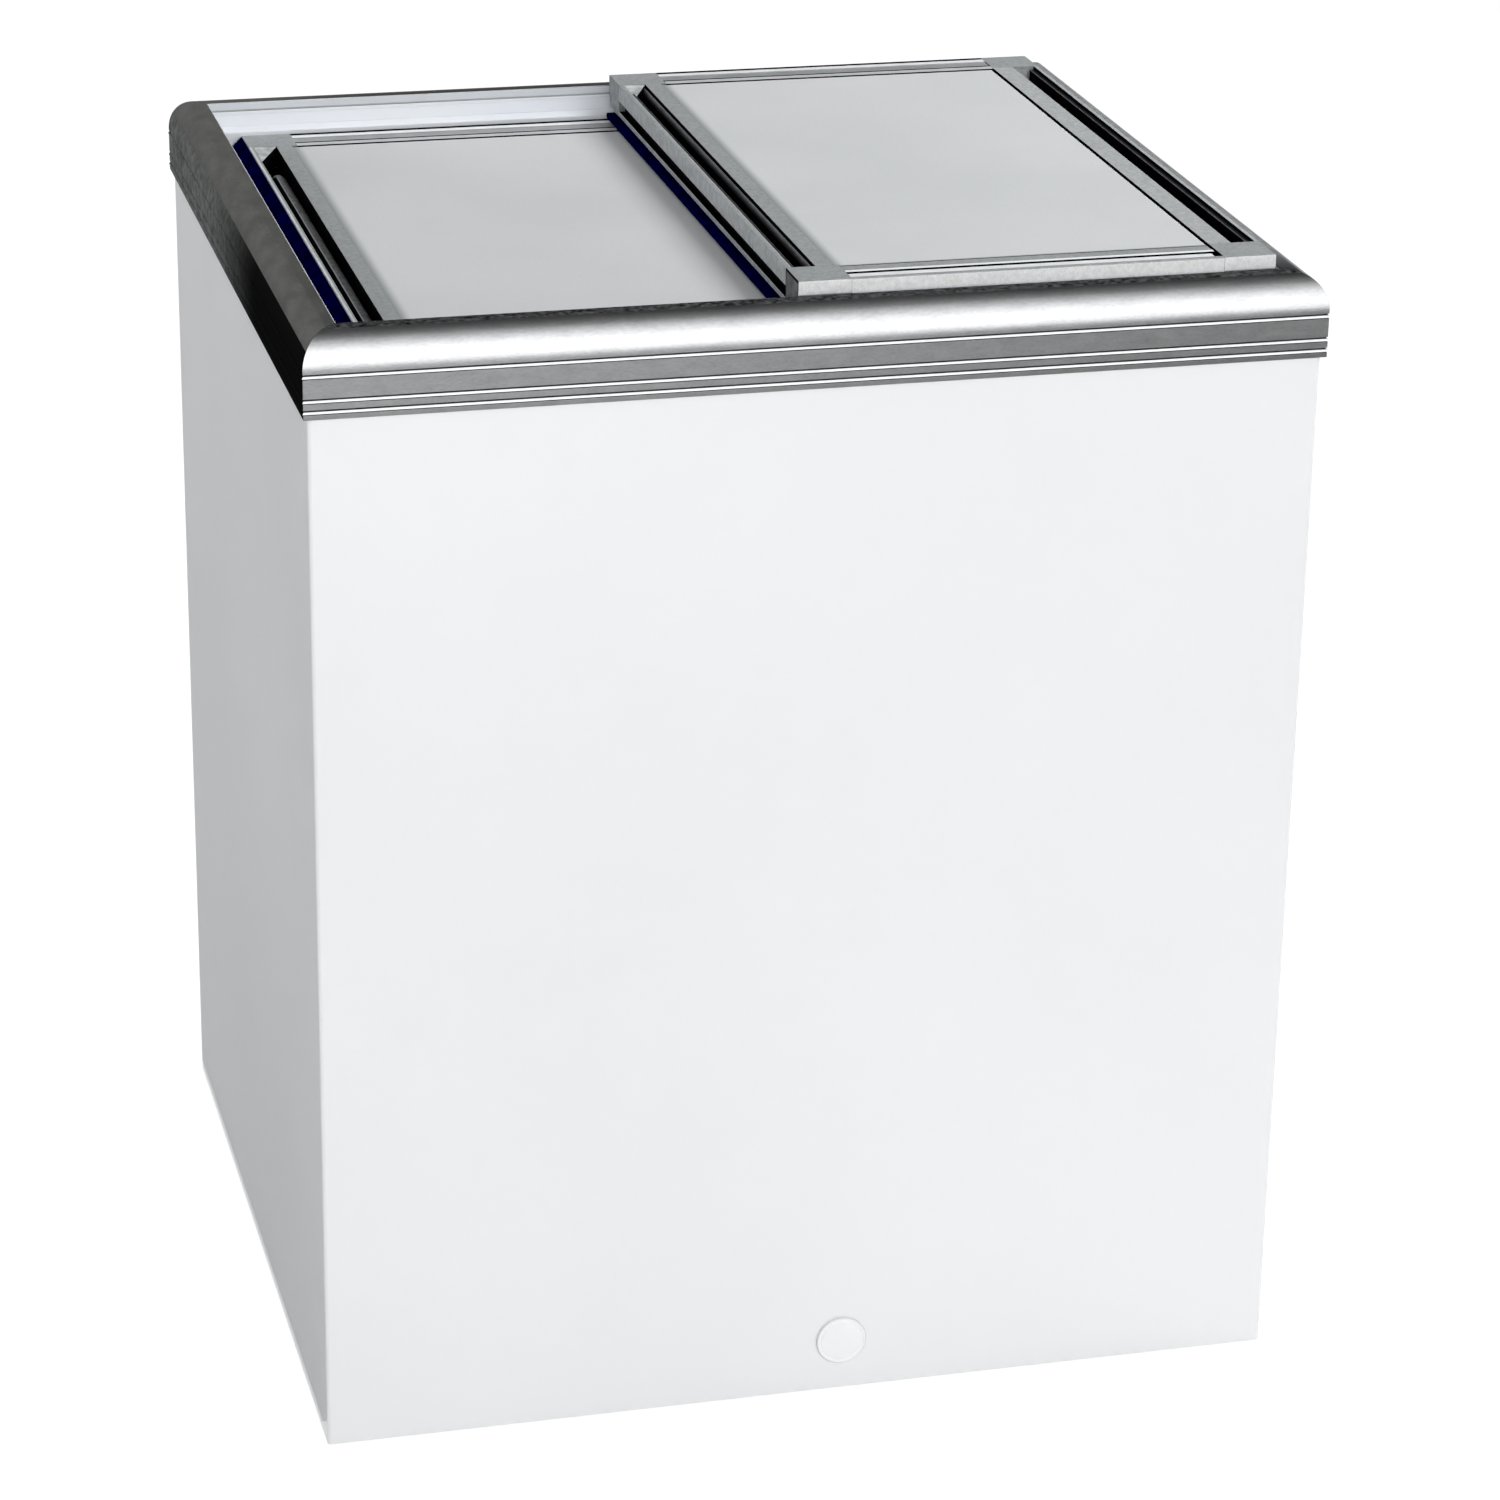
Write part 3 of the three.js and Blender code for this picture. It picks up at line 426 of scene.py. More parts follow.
# Painted highlight: a pale grey line along the rear edge's inner flat.
greyLinePaintedHighlight = newFinish("paintedHighlightGreyLine", {
    **thinLine, "dark": (0.46, 0.468, 0.472), "pale": (0.54, 0.548, 0.552),
})
grooveShade = newFinish("shadedGroove", {
    "dark": (0.012, 0.012, 0.013), "pale": (0.045, 0.045, 0.047), "rough": (0.5, 0.65),
    "patchScale": 90, "relief": 0.1, "specular": 0.2,
})
# Painted shade: black for the lids' channels, recesses, grooves, seams and gaps, the rear edge's
# lip and the rod's shaded side.
paintedShadeBlack = newFinish("paintedShadeBlack", {
    "dark": (0.0008, 0.0008, 0.0015), "pale": (0.004, 0.004, 0.006), "rough": (0.6, 0.75),
    "patchScale": 60, "relief": 0.1, "specular": 0.05, "ior": 1.2,
})
# The seals' navy is partly the rubber's own dark colour and partly painted deep shade beside the
# lids.
navyRubberAndShade = newFinish("navyRubberAndShade", {
    "dark": (0.0001, 0.0001, 0.016), "pale": (0.0002, 0.0002, 0.05), "rough": (0.8, 0.95),
    "patchScale": 90, "grainScale": 1200, "relief": 0.12, "specular": 0.0, "ior": 1.02,
})
mouldedPart = {"patchScale": 12, "relief": 0.05}
whitePlastic = newFinish("whitePlastic", {
    **mouldedPart, "dark": (0.86, 0.87, 0.875), "pale": (0.90, 0.905, 0.91),
    "rough": (0.38, 0.48),
})
# Painted shade: the grey ring round the drain cap's edge.
capRingPaintedShade = newFinish("capRingPaintedShade", {
    **mouldedPart, "dark": (0.62, 0.63, 0.635), "pale": (0.66, 0.67, 0.675),
    "rough": (0.4, 0.5),
})
tankWhite = newFinish("coatedTankSkin", {
    "dark": (0.80, 0.815, 0.83), "pale": (0.85, 0.86, 0.87), "rough": (0.28, 0.38),
    "patchScale": 4, "grainScale": 260, "relief": 0.12, "reliefDepth": 0.0004,
})
blackPlastic = newFinish("texturedBlackPlastic", {
    "dark": (0.014, 0.014, 0.016), "pale": (0.03, 0.03, 0.033), "rough": (0.5, 0.65),
    "patchScale": 30, "grainScale": 1500, "relief": 0.3,
})
blackEnamel = newFinish("blackEnamel", {
    "dark": (0.012, 0.012, 0.014), "pale": (0.022, 0.022, 0.025), "rough": (0.25, 0.4),
    "patchScale": 12, "grainScale": 300, "relief": 0.12, "coat": 0.4,
})
blackRubber = newFinish("blackRubber", {
    "dark": (0.012, 0.012, 0.013), "pale": (0.028, 0.028, 0.03), "rough": (0.7, 0.85),
    "patchScale": 40, "relief": 0.25,
})
zincSheet = newFinish("zincCoatedSheet", {
    "dark": (0.42, 0.44, 0.46), "pale": (0.58, 0.60, 0.62), "rough": (0.32, 0.5), "metal": 1,
    "patchScale": 55, "grainScale": 300, "relief": 0.06,
})
copperTube = newFinish("copperTube", {
    "dark": (0.62, 0.33, 0.20), "pale": (0.78, 0.46, 0.30), "rough": (0.25, 0.42), "metal": 1,
    "patchScale": 25, "grainScale": 500, "relief": 0.05,
})
castFoam = newFinish("castFoam", {
    "dark": (0.70, 0.58, 0.30), "pale": (0.84, 0.74, 0.46), "rough": (0.85, 0.95),
    "patchScale": 20, "grainScale": 400, "relief": 0.8, "reliefDepth": 0.001,
})
print("finishes ready")

# Outlines are lists of points in mm; a bar draws one out along X (0), Y (1) or Z (2).
sectionAxes = {0: (1, 2), 1: (0, 2), 2: (0, 1)}
# Angles past which an edge stays sharp; a corner is what soften rounds.
shading = {"smooth": 35, "rim": 28, "sheet": 40, "rod": 60, "corner": 50}


def bar(points, start, end, axis):
    first, second = sectionAxes[axis]
    shape = bmesh.new()
    ring = []
    for a, b in points:
        place = [0, 0, 0]
        place[axis] = start * mm
        place[first] = a * mm
        place[second] = b * mm
        ring.append(shape.verts.new(place))
    cap = shape.faces.new(ring)
    grown = bmesh.ops.extrude_face_region(shape, geom=[cap])
    push = Vector((0, 0, 0))
    push[axis] = (end - start) * mm
    far = [v for v in grown["geom"] if isinstance(v, bmesh.types.BMVert)]
    bmesh.ops.translate(shape, verts=far, vec=push)
    bmesh.ops.recalc_face_normals(shape, faces=shape.faces)
    return shape


# Adds edges, or with clear_outer a cut, where a plane meets the shape.
def planeCut(shape, place, normal, **more):
    return bmesh.ops.bisect_plane(
        shape, geom=shape.verts[:] + shape.edges[:] + shape.faces[:], dist=1e-7,
        plane_co=place, plane_no=normal, **more,
    )


def addEdgesAt(shape, axis, at):
    normal = [0, 0, 0]
    normal[axis] = 1
    planeCut(shape, [v * at * mm for v in normal], normal)


def bevelEdges(shape, edges, radius, segments, clamp=False):
    bmesh.ops.bevel(
        shape, geom=edges, offset=radius * mm, offset_type="OFFSET", segments=segments,
        profile=0.5, affect="EDGES", clamp_overlap=clamp, material=-1,
    )


# Rounds the long edges of a bar that run through the given corners of its outline.
def roundAlong(shape, axis, corners, radius, segments):
    first, second = sectionAxes[axis]
    shortest, near = 0.2 * mm, 0.03 * mm
    chosen = []
    for edge in shape.edges:
        ends = [v.co for v in edge.verts]
        if abs(ends[0][axis] - ends[1][axis]) < shortest:
            continue
        for a, b in corners:
            if all(abs(end[first] - a * mm) < near and abs(end[second] - b * mm) < near
                   for end in ends):
                chosen.append(edge)
    bevelEdges(shape, chosen, radius, segments)


# Softens every sharp edge.
def soften(shape, radius, segments):
    limit = math.radians(shading["corner"])
    chosen = [e for e in shape.edges if len(e.link_faces) == 2 and e.calc_face_angle(0) > limit]
    bevelEdges(shape, chosen, radius, segments, clamp=True)


def block(x0, x1, y0, y1, z0, z1):
    return bar([(x0, z0), (x1, z0), (x1, z1), (x0, z1)], y0, y1, 1)


# A profile of (radius, height) points spun about Z; it starts and ends on the axis.
def turned(profile, steps):
    shape = bmesh.new()
    line = [shape.verts.new((r * mm, 0, z * mm)) for r, z in profile]
    edges = [shape.edges.new(pair) for pair in zip(line, line[1:])]
    bmesh.ops.spin(
        shape, geom=line + edges, cent=(0, 0, 0), axis=(0, 0, 1), angle=2 * math.pi,
        steps=steps, use_merge=True, use_duplicate=False,
    )
    bmesh.ops.remove_doubles(shape, verts=shape.verts, dist=0.001 * mm)
    bmesh.ops.recalc_face_normals(shape, faces=shape.faces)
    return shape


def move(shape, x, y, z):
    bmesh.ops.translate(shape, verts=shape.verts, vec=(x * mm, y * mm, z * mm))
    return shape


def flip(shape, sx, sy):
    bmesh.ops.scale(shape, verts=shape.verts, vec=(sx, sy, 1))
    if sx * sy < 0:
        bmesh.ops.reverse_faces(shape, faces=shape.faces)
    return shape


def turnX(shape, degrees):
    turn = Matrix.Rotation(math.radians(degrees), 4, "X")
    bmesh.ops.transform(shape, matrix=turn, verts=shape.verts)
    return shape


def addShape(shape, other):
    carrier = bpy.data.meshes.new("carrier")
    other.to_mesh(carrier)
    other.free()
    shape.from_mesh(carrier)
    bpy.data.meshes.remove(carrier)
    return shape


# Gives the faces whose middle lies in a box (mm) another of the piece's finishes.
def paintBox(shape, index, x=None, y=None, z=None):
    for face in shape.faces:
        middle = face.calc_center_median() / mm
        inside = True
        for value, span in zip(middle, (x, y, z)):
            if span and not span[0] <= value <= span[1]:
                inside = False
        if inside:
            face.material_index = index


def paintAll(shape, index):
    for face in shape.faces:
        face.material_index = index


def shadeEvenly(piece, sharp):
    piece.data.shade_smooth()
    piece.data.set_sharp_from_angle(angle=math.radians(sharp))
    even = piece.modifiers.new("evenShading", "WEIGHTED_NORMAL")
    even.keep_sharp = True


def makePiece(name, shape, body, nodes, finishes, smooth=shading["smooth"]):
    bmesh.ops.remove_doubles(shape, verts=shape.verts, dist=0.001 * mm)
    piece = newObject(name, shape, finishes)
    shadeEvenly(piece, smooth)
    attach(piece, body)
    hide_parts(*nodes)
    return piece


def cutAway(piece, cutterShape):
    cutter = newObject("cutter", cutterShape, [])
    piece.modifiers.clear()
    cut = piece.modifiers.new("cut", "BOOLEAN")
    cut.operation = "DIFFERENCE"
    cut.solver = "EXACT"
    cut.object = cutter
    graph = bpy.context.evaluated_depsgraph_get()
    made = bpy.data.meshes.new_from_object(piece.evaluated_get(graph))
    piece.modifiers.clear()
    piece.data = made
    shadeEvenly(piece, shading["smooth"])
    bpy.data.objects.remove(cutter)


def nodeBox(node):
    low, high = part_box(node)
    return low / mm, high / mm


cabinet = {
    "bend": 3,
    "bendSteps": 6,
    "sheet": 1,
    "sideEdge": 0.25,
    "sideLap": 0.2,  # how far a side sheet runs on past its node at the front and rear
    "drainHole": 12,
    "drainCut": 20,  # half length of the drill
    "grilleLap": 6,  # how far the grille and the tray overlap the rear window's edge
    "windowCut": 6,
}


def wrappedSheet(node):
    low, high = nodeBox(node)
    front = node == "front_panel"
    outer, inner = (low.y, high.y) if front else (high.y, low.y)
    skin = cabinet["sheet"] if front else -cabinet["sheet"]
    x = high.x
    t = cabinet["sheet"]
    plan = [
        (-x, inner), (-x, outer), (x, outer), (x, inner),
        (x - t, inner), (x - t, outer + skin), (t - x, outer + skin), (t - x, inner),
    ]
    shape = bar(plan, low.z, high.z, 2)
    bend, steps = cabinet["bend"], cabinet["bendSteps"]
    roundAlong(shape, 2, [(-x, outer), (x, outer)], bend, steps)
    roundAlong(shape, 2, [(x - t, outer + skin), (t - x, outer + skin)], bend - t, steps)
    return shape


def buildPanels():
    front = makePiece("front_sheet", wrappedSheet("front_panel"), "cabinet",
                      ["front_panel"], [whitePaint])
    capLow, capHigh = nodeBox("drain_cap")
    radius, reach = cabinet["drainHole"], cabinet["drainCut"]
    hole = turnX(turned([(0, -reach), (radius, -reach), (radius, reach), (0, reach)], 48), 90)
    panelY = nodeBox("front_panel")[0].y
    cutAway(front, move(hole, (capLow.x + capHigh.x) / 2, panelY, (capLow.z + capHigh.z) / 2))
    rear = makePiece("rear_sheet", wrappedSheet("rear_panel"), "cabinet",
                     ["rear_panel"], [whitePaint])
    grilleLow, grilleHigh = nodeBox("rear_grille")
    trayHigh = nodeBox("control_tray")[1]
    rearY = nodeBox("rear_panel")[1].y
    lap, deep = cabinet["grilleLap"], cabinet["windowCut"]
    cutAway(rear, block(grilleLow.x + lap, grilleHigh.x - lap, rearY - deep, rearY + deep,
                        grilleLow.z + lap, trayHigh.z - lap))
    over = cabinet["sideLap"]
    for node in ("left_side_panel", "right_side_panel"):
        low, high = nodeBox(node)
        shape = block(low.x, high.x, low.y - over, high.y + over, low.z, high.z)
        soften(shape, cabinet["sideEdge"], 2)
        makePiece(node.replace("panel", "sheet"), shape, "cabinet", [node],
                  [whitePaint])


rim = {
    "face": 0.5,  # how far its face stands back from the ridges
    "round": 20,
    "roundHigh": 25,
    "roundSteps": (22, 12),  # outside and inside
    "width": 28,
    "wall": 2,
    "foot": 3,
    "overhang": 0.15,
    "ridges": (5.0, 12.7, 29.6),  # heights above its lower edge
    # one ridge and its two grooves, as steps in from the face and up from the ridge
    "ridgeProfile": ((0, -1.5), (0.5, -1.35), (0.5, -0.9), (-0.5, -0.75), (-0.5, -0.6),
                     (0.15, 0.75), (0.9, 0.85), (0.9, 1.75), (0, 2.0)),
    "ridgeZone": (-1.55, 2.05),
    "grooves": ((0.77, 2.05), (-1.55, -0.76)),
    "lip": 6,
    "lipProfile": ((0, 0), (-1.2, -0.2), (-1.2, -1.1), (0, -1.4), (0, -2.7), (-0.5, -2.9),
                   (-0.5, -3.9), (0, -4.3)),
    "flatStart": 16.5,
    "flatDepth": 3.0,
    "sideShade": (6, 11.6),  # how far in and how far below the top the left side is dark
    "arris": 0.95,
    "ledge": 46,  # how far each track reaches in from the outer face
    "lowerLedge": 60,
    "endLedge": 14,
    "sheet": 2,
    "upperTrack": 19,  # below the rim's top
    "lowerTrack": 49.5,
    "mitreGap": 0.12,
    "gap": 0.1,
    "trackGap": 0.4,
    "edge": 0.9,
    "footEdge": 0.5,
}


def rimOutline(bottom, top):
    face, wall, inner = rim["face"], rim["wall"], rim["width"]
    points = [(face, bottom)]
    for centre in rim["ridges"]:
        points += [(face + across, bottom + centre + up) for across, up in rim["ridgeProfile"]]
    across, high = rim["round"], rim["roundHigh"]
    outSteps, inSteps = rim["roundSteps"]
    for step in range(outSteps + 1):
        turn = math.radians(90 * step / outSteps)
        points.append((face + across * (1 - math.cos(turn)), top - high * (1 - math.sin(turn))))
    points.append((inner, top))
    points += [(inner + x, top - rim["lip"] + z) for x, z in rim["lipProfile"]]
    points += [(inner, bottom + rim["foot"]), (inner - wall, bottom + rim["foot"]),
               (inner - wall, top - wall)]
    for step in range(inSteps + 1):
        turn = math.radians(90 * step / inSteps)
        points.append((face + wall + (across - wall) * (1 - math.sin(turn)),
                       top - high + (high - wall) * math.cos(turn)))
    points.append((face + wall, bottom))
    return points


def rimLength(side, halfLength, bottom, top):
    shape = bar(rimOutline(bottom, top), -halfLength, halfLength, 0)
    roundAlong(shape, 0, [(rim["width"], top)], rim["edge"], 3)
    roundAlong(shape, 0, [(rim["face"], bottom)], rim["footEdge"], 2)
    for end in (-1, 1):
        edge = (halfLength - rim["mitreGap"]) * end * mm
        cut = planeCut(shape, (edge, 0, 0), (end, 1, 0), clear_outer=True)
        openEdges = [e for e in cut["geom_cut"] if isinstance(e, bmesh.types.BMEdge)]
        bmesh.ops.contextual_create(shape, geom=openEdges)
    bmesh.ops.recalc_face_normals(shape, faces=shape.faces)
    face, inner = rim["face"], rim["width"]
    lip = top - rim["lip"]
    inside = (inner - 1.3, inner + rim["gap"])
    paintBox(shape, 1, y=inside, z=(bottom, lip - 1.2))
    paintBox(shape, 2, y=inside, z=(lip - 0.1, top - 1.0))
    # Painted shade in the lip's groove.
    paintBox(shape, 3, y=inside, z=(lip - 1.3, lip - 0.05))
    ridgeSpan = (-rim["gap"], face + 1)
    for centre in rim["ridges"]:
        for start, end in rim["grooves"]:
            paintBox(shape, 5, y=ridgeSpan, z=(bottom + centre + start, bottom + centre + end))
    flat = (rim["flatStart"], inner + rim["gap"])
    flatHigh = (top - rim["flatDepth"], top + rim["gap"])
    # Flat tops: painted shade on the front rim's, and on the right rim's a painted reflection that
    # fades to painted shade near the front.
    if side in ("front", "right"):
        paintBox(shape, 4, y=flat, z=flatHigh)
    # Left rim: painted shade on its ridges, face and lower arc, darker towards the front, and a
    # painted highlight on its inner top edge.
    if side == "left":
        start, end = rim["ridgeZone"]
        for centre in rim["ridges"]:
            paintBox(shape, 4, y=ridgeSpan, z=(bottom + centre + start, bottom + centre + end))
        shadeIn, shadeDown = rim["sideShade"]
        arcFoot = top - rim["roundHigh"]
        paintBox(shape, 4, y=(face - 0.02, face + 0.02), z=(bottom - 1, arcFoot - 0.5))
        paintBox(shape, 4, y=(face - 0.02, shadeIn), z=(arcFoot - 1, top - shadeDown))
        paintBox(shape, 7, y=flat, z=flatHigh)
        paintBox(shape, 6, y=(inner - rim["arris"], flat[1]), z=(top - 1.0, top - 0.03))
    return shape


def setOnSide(shape, side, halfX, halfY):
    angle = {"front": 0, "right": 90, "rear": 180, "left": -90}[side]
    shift = {"front": (0, -halfY), "right": (halfX, 0), "rear": (0, halfY), "left": (-halfX, 0)}
    bmesh.ops.rotate(shape, verts=shape.verts, cent=(0, 0, 0),
                     matrix=Matrix.Rotation(math.radians(angle), 3, "Z"))
    return move(shape, *shift[side], 0)


def buildRim():
    low, high = nodeBox("rim_front")
    top = high.z
    bottom = nodeBox("rim_left")[0].z
    halfX = high.x + rim["overhang"]
    halfY = -low.y
    profileFinish = {"front": rimMetalX, "right": rimMetalY, "rear": rimMetalX,
                     "left": rimMottledArc}
    # Index 4: painted shade on the front rim's flat top and on the left rim's side, a painted
    # reflection on the right rim's flat top; the rear keeps the metal.
    flatFinish = {"front": rimShade, "right": rimTopPaintedLight, "rear": rimMetalX,
                  "left": rimSideShade}
    upper = top - rim["upperTrack"]
    lower = top - rim["lowerTrack"]
    wall = rim["width"] + rim["gap"]
    reach, deep, t = rim["ledge"], rim["lowerLedge"], rim["sheet"]
    for side in ("front", "right", "rear", "left"):
        long = side in ("front", "rear")
        shape = rimLength(side, halfX if long else halfY, bottom, top)
        setOnSide(shape, side, halfX, halfY)
        makePiece("rim_%s_profile" % side, shape, "cabinet", ["rim_" + side],
                  [profileFinish[side], trackLiner, lipLiner, lipGroovePaintedShade, flatFinish[side],
                   grooveShade, arrisPaintedHighlight, rimMottled],
                  smooth=shading["rim"])
        if long:
            half = halfX - rim["width"] - rim["trackGap"]
            section = [
                (wall, upper - t), (reach - t, upper - t), (reach - t, lower - t),
                (deep, lower - t), (deep, lower), (reach, lower), (reach, upper), (wall, upper),
            ]
            rounds = [(reach, upper), (deep, lower)]
        else:
            half = halfY - rim["lowerLedge"] - rim["trackGap"]
            end = rim["width"] + rim["endLedge"]
            section = [(wall, lower - t), (end, lower - t), (end, lower), (wall, lower)]
            rounds = [(end, lower)]
        track = bar(section, -half, half, 0)
        roundAlong(track, 0, rounds, rim["edge"], 3)
        setOnSide(track, side, halfX, halfY)
        makePiece("rim_%s_track" % side, track, "cabinet", ["rim_" + side],
                  [trackLiner])


# A grip's outline starts at its outer face; depths count down from the lid's top.
grip = {
    "width": 37.5,
    "flangeEnd": 33.4,  # the left grip's flange stops short of its corner blocks
    "bar": 4.3,
    "rightBar": 3.6,
    "outerLedge": 9.0,
    "innerLedge": 18.2,
    "flange": 20.9,
    "ledgeDepth": 2.7,
    "outerBead": (7.9, 1.6),  # where its flat ends, and how far it drops
    "innerBead": (19.7, 4),
    "rightBead": (5.9, 0.35),
    "rightLedge": 6.7,
    # The inner bead's painted shade bands change at these shares of its drop; brightLine and
    # brightStrip are widths of painted highlights.
    "beadBands": (0.62, 0.2),  # shares of its drop at which the inner bead's tone changes
    "brightLine": 0.45,
    "brightStrip": 1.1,
    "straightStrip": 0.55,  # share of the bar
    "depth": 17,
    "recess": 5,
    "recessTop": 13,
    "recessBottom": 21,
    "thick": 25,
    "straightEnd": 21.5,  # far wall of the straight channel
    "rounds": {"outer": 0.9, "bar": 0.4, "flange": 0.3, "recess": 0.6},
}
# A quarter-round bead from a ledge's flat (start) down to the channel's wall (end).
def beadArc(start, end, top, drop):
    points = []
    for step in range(7):
        turn = math.radians(15 * step)
        points.append((start + (end - start) * math.sin(turn), top - drop * (1 - math.cos(turn))))
    return points


def gripShape(half, rightEnd):
    g = grip
    d, deep, thick = g["ledgeDepth"], g["depth"], g["thick"]
    recess, recessTop, recessFoot = g["recess"], -g["recessTop"], -g["recessBottom"]
    barWide = g["rightBar"] if rightEnd else g["bar"]
    ledge = g["rightLedge"] if rightEnd else g["outerLedge"]
    outerFlat, outerDrop = g["rightBead"] if rightEnd else g["outerBead"]
    innerFlat, innerDrop = g["innerBead"]
    wall, flange = g["innerLedge"], g["flange"]
    line = innerFlat + g["brightLine"]
    wide = g["width"] if rightEnd else g["flangeEnd"]
    points = [
        (0, -thick), (0, recessFoot), (recess, recessFoot), (recess, recessTop),
        (0, recessTop), (0, 0), (barWide, 0), (barWide, -d),
    ]
    points += beadArc(outerFlat, ledge, -d, outerDrop)
    points += [(ledge, -deep), (wall, -deep)]
    points += beadArc(innerFlat, wall, -d, innerDrop)[::-1]
    points += [(line, -d), (flange, -d - 0.3), (flange, 0), (wide, 0), (wide, -thick)]
    shape = bar(points, -half, half, 1)
    below = -deep - 1
    # painted shade: the bar's inner wall, the flange's foot, the channel and the recess
    paintBox(shape, 1, x=(barWide - 0.05, barWide + 0.05), z=(-d, -0.1))
    paintBox(shape, 1, x=(line, flange + 0.05), z=(-d - 0.3, -0.1))
    paintBox(shape, 1, x=(ledge - 0.1, wall + 0.1), z=(below, -d - outerDrop - 0.05))
    paintBox(shape, 1, x=(wall - 0.1, wall + 0.1), z=(below, -d - innerDrop + 0.05))
    paintBox(shape, 1, x=(0.3, recess + 0.1), z=(recessFoot - 0.1, recessTop + 0.1))
    # Painted shade on the outer bead and on the ledge beside it.
    paintBox(shape, 2, x=(outerFlat, ledge + 0.02), z=(-d - outerDrop, -d))
    paintBox(shape, 6, x=(barWide + 0.1, outerFlat), z=(-d - 0.1, -d + 0.1))
    if rightEnd:
        # Right grip: painted shade on the inner bead and on the face towards the sheet, painted
        # light on the bar and flange tops.
        paintBox(shape, 1, x=(wall - 0.02, line), z=(-d - innerDrop, -d + 0.1))
        paintBox(shape, 5, x=(0, barWide), z=(-0.1, 0.1))
        paintBox(shape, 5, x=(flange, wide), z=(-0.1, 0.1))
        paintBox(shape, 1, x=(wide - 0.1, wide + 0.1), z=(1 - thick, -0.1))
    else:
        # Left grip: the inner bead in bands of painted shade, lighter towards its top, then a thin
        # painted highlight line.
        beadSpan = (wall - 0.02, innerFlat)
        foot, shoulder = (-d - share * innerDrop for share in g["beadBands"])
        paintBox(shape, 6, x=beadSpan, z=(-d - innerDrop, foot))
        paintBox(shape, 2, x=beadSpan, z=(foot, shoulder))
        paintBox(shape, 7, x=beadSpan, z=(shoulder, -d + 0.05))
        paintBox(shape, 3, x=(innerFlat, line), z=(-d - 0.1, -d + 0.1))
    # Painted light on the outer face above and below the recess.
    paintBox(shape, 4, x=(-0.1, 0.1), z=(recessTop, 0))
    paintBox(shape, 4, x=(-0.1, 0.1), z=(-thick, recessFoot))
    radius = g["rounds"]
    roundAlong(shape, 1, [(0, 0)], radius["outer"], 4)
    roundAlong(shape, 1, [(barWide, 0)], radius["bar"], 3)
    roundAlong(shape, 1, [(flange, 0)], radius["flange"], 3)
    if not rightEnd:
        # A painted highlight strip along the bar's inner edge.
        strip = barWide - g["brightStrip"]
        addEdgesAt(shape, 0, strip)
        paintBox(shape, 5, x=(strip, barWide + 0.02), z=(-0.39, 0.1))
    roundAlong(shape, 1, [(0, recessTop), (0, recessFoot), (0, -thick)], radius["recess"], 3)
    return shape


def straightGripShape(half):
    g = grip
    barWide, far, deep, thick = g["bar"], g["straightEnd"], g["depth"], g["thick"]
    points = [
        (0, -thick), (0, 0), (barWide, 0), (barWide, -deep), (far, -deep), (far, 0),
        (g["flangeEnd"], 0), (g["flangeEnd"], -thick),
    ]
    shape = bar(points, -half, half, 1)
    # Painted shade in the channel.
    paintBox(shape, 1, x=(barWide - 0.05, far + 0.05), z=(-deep - 1, -0.1))
    radius = g["rounds"]
    roundAlong(shape, 1, [(0, 0)], radius["outer"], 4)
    roundAlong(shape, 1, [(barWide, 0)], radius["outer"], 3)
    roundAlong(shape, 1, [(far, 0)], radius["flange"], 3)
    # A painted highlight strip on the outer part of the bar's top.
    strip = barWide * g["straightStrip"]
    addEdgesAt(shape, 0, strip)
    paintBox(shape, 3, x=(0.5, strip), z=(-0.6, 0.1))
    return shape


pull = {
    "left": 7.0,
    "wide": 11.8,
    "top": 5.2,
    "front": -212,
    "rear": 190,
    "nose": 17,
    "sunk": 0.4,  # into the channel's floor
    # The rod's painted shade and its painted highlight strip end at these shares of its radius.
    "darkStrip": (0.4, 0.25),  # shares of its radius
}


# The round pull rod in the straight channel, with a rounded nose at its rear end.
def pullRodShape():
    p = pull
    radius = p["wide"] / 2
    sink = grip["depth"] + p["sunk"]
    arc = [math.radians(7.5 * step) for step in range(25)]
    section = [(radius * math.cos(a), radius * math.sin(a) - p["top"] - radius) for a in arc]
    section += [(-radius, -sink), (radius, -sink)]
    noseStart = p["rear"] - p["nose"]
    shape = bar(section, p["front"], noseStart, 1)
    outer, inner = (-share * radius for share in p["darkStrip"])
    # Painted shade low on the side towards the bar, then a painted highlight strip.
    paintBox(shape, 2, x=(-radius - 0.1, outer), z=(-grip["depth"], 0))
    paintBox(shape, 1, x=(outer, inner), z=(-p["top"] - radius, 0))
    tip = [f for f in shape.faces
           if abs(f.calc_center_median().y - noseStart * mm) < 0.01 * mm]
    floor = -sink * mm
    for step in range(6):
        turn = math.radians(15 * (step + 1))
        before = math.radians(15 * step)
        shrink = math.cos(turn) / math.cos(before) if step < 5 else 0.25
        grown = bmesh.ops.extrude_face_region(shape, geom=tip)
        ends = [v for v in grown["geom"] if isinstance(v, bmesh.types.BMVert)]
        bmesh.ops.delete(shape, geom=tip, context="FACES_ONLY")
        for v in ends:
            v.co.x *= shrink
            v.co.z = floor + (v.co.z - floor) * shrink
            v.co.y += p["nose"] * mm * (math.sin(turn) - math.sin(before))
        tip = [f for f in grown["geom"] if isinstance(f, bmesh.types.BMFace)]
    bmesh.ops.recalc_face_normals(shape, faces=shape.faces)
    return move(shape, p["left"] + radius, 0, 0)


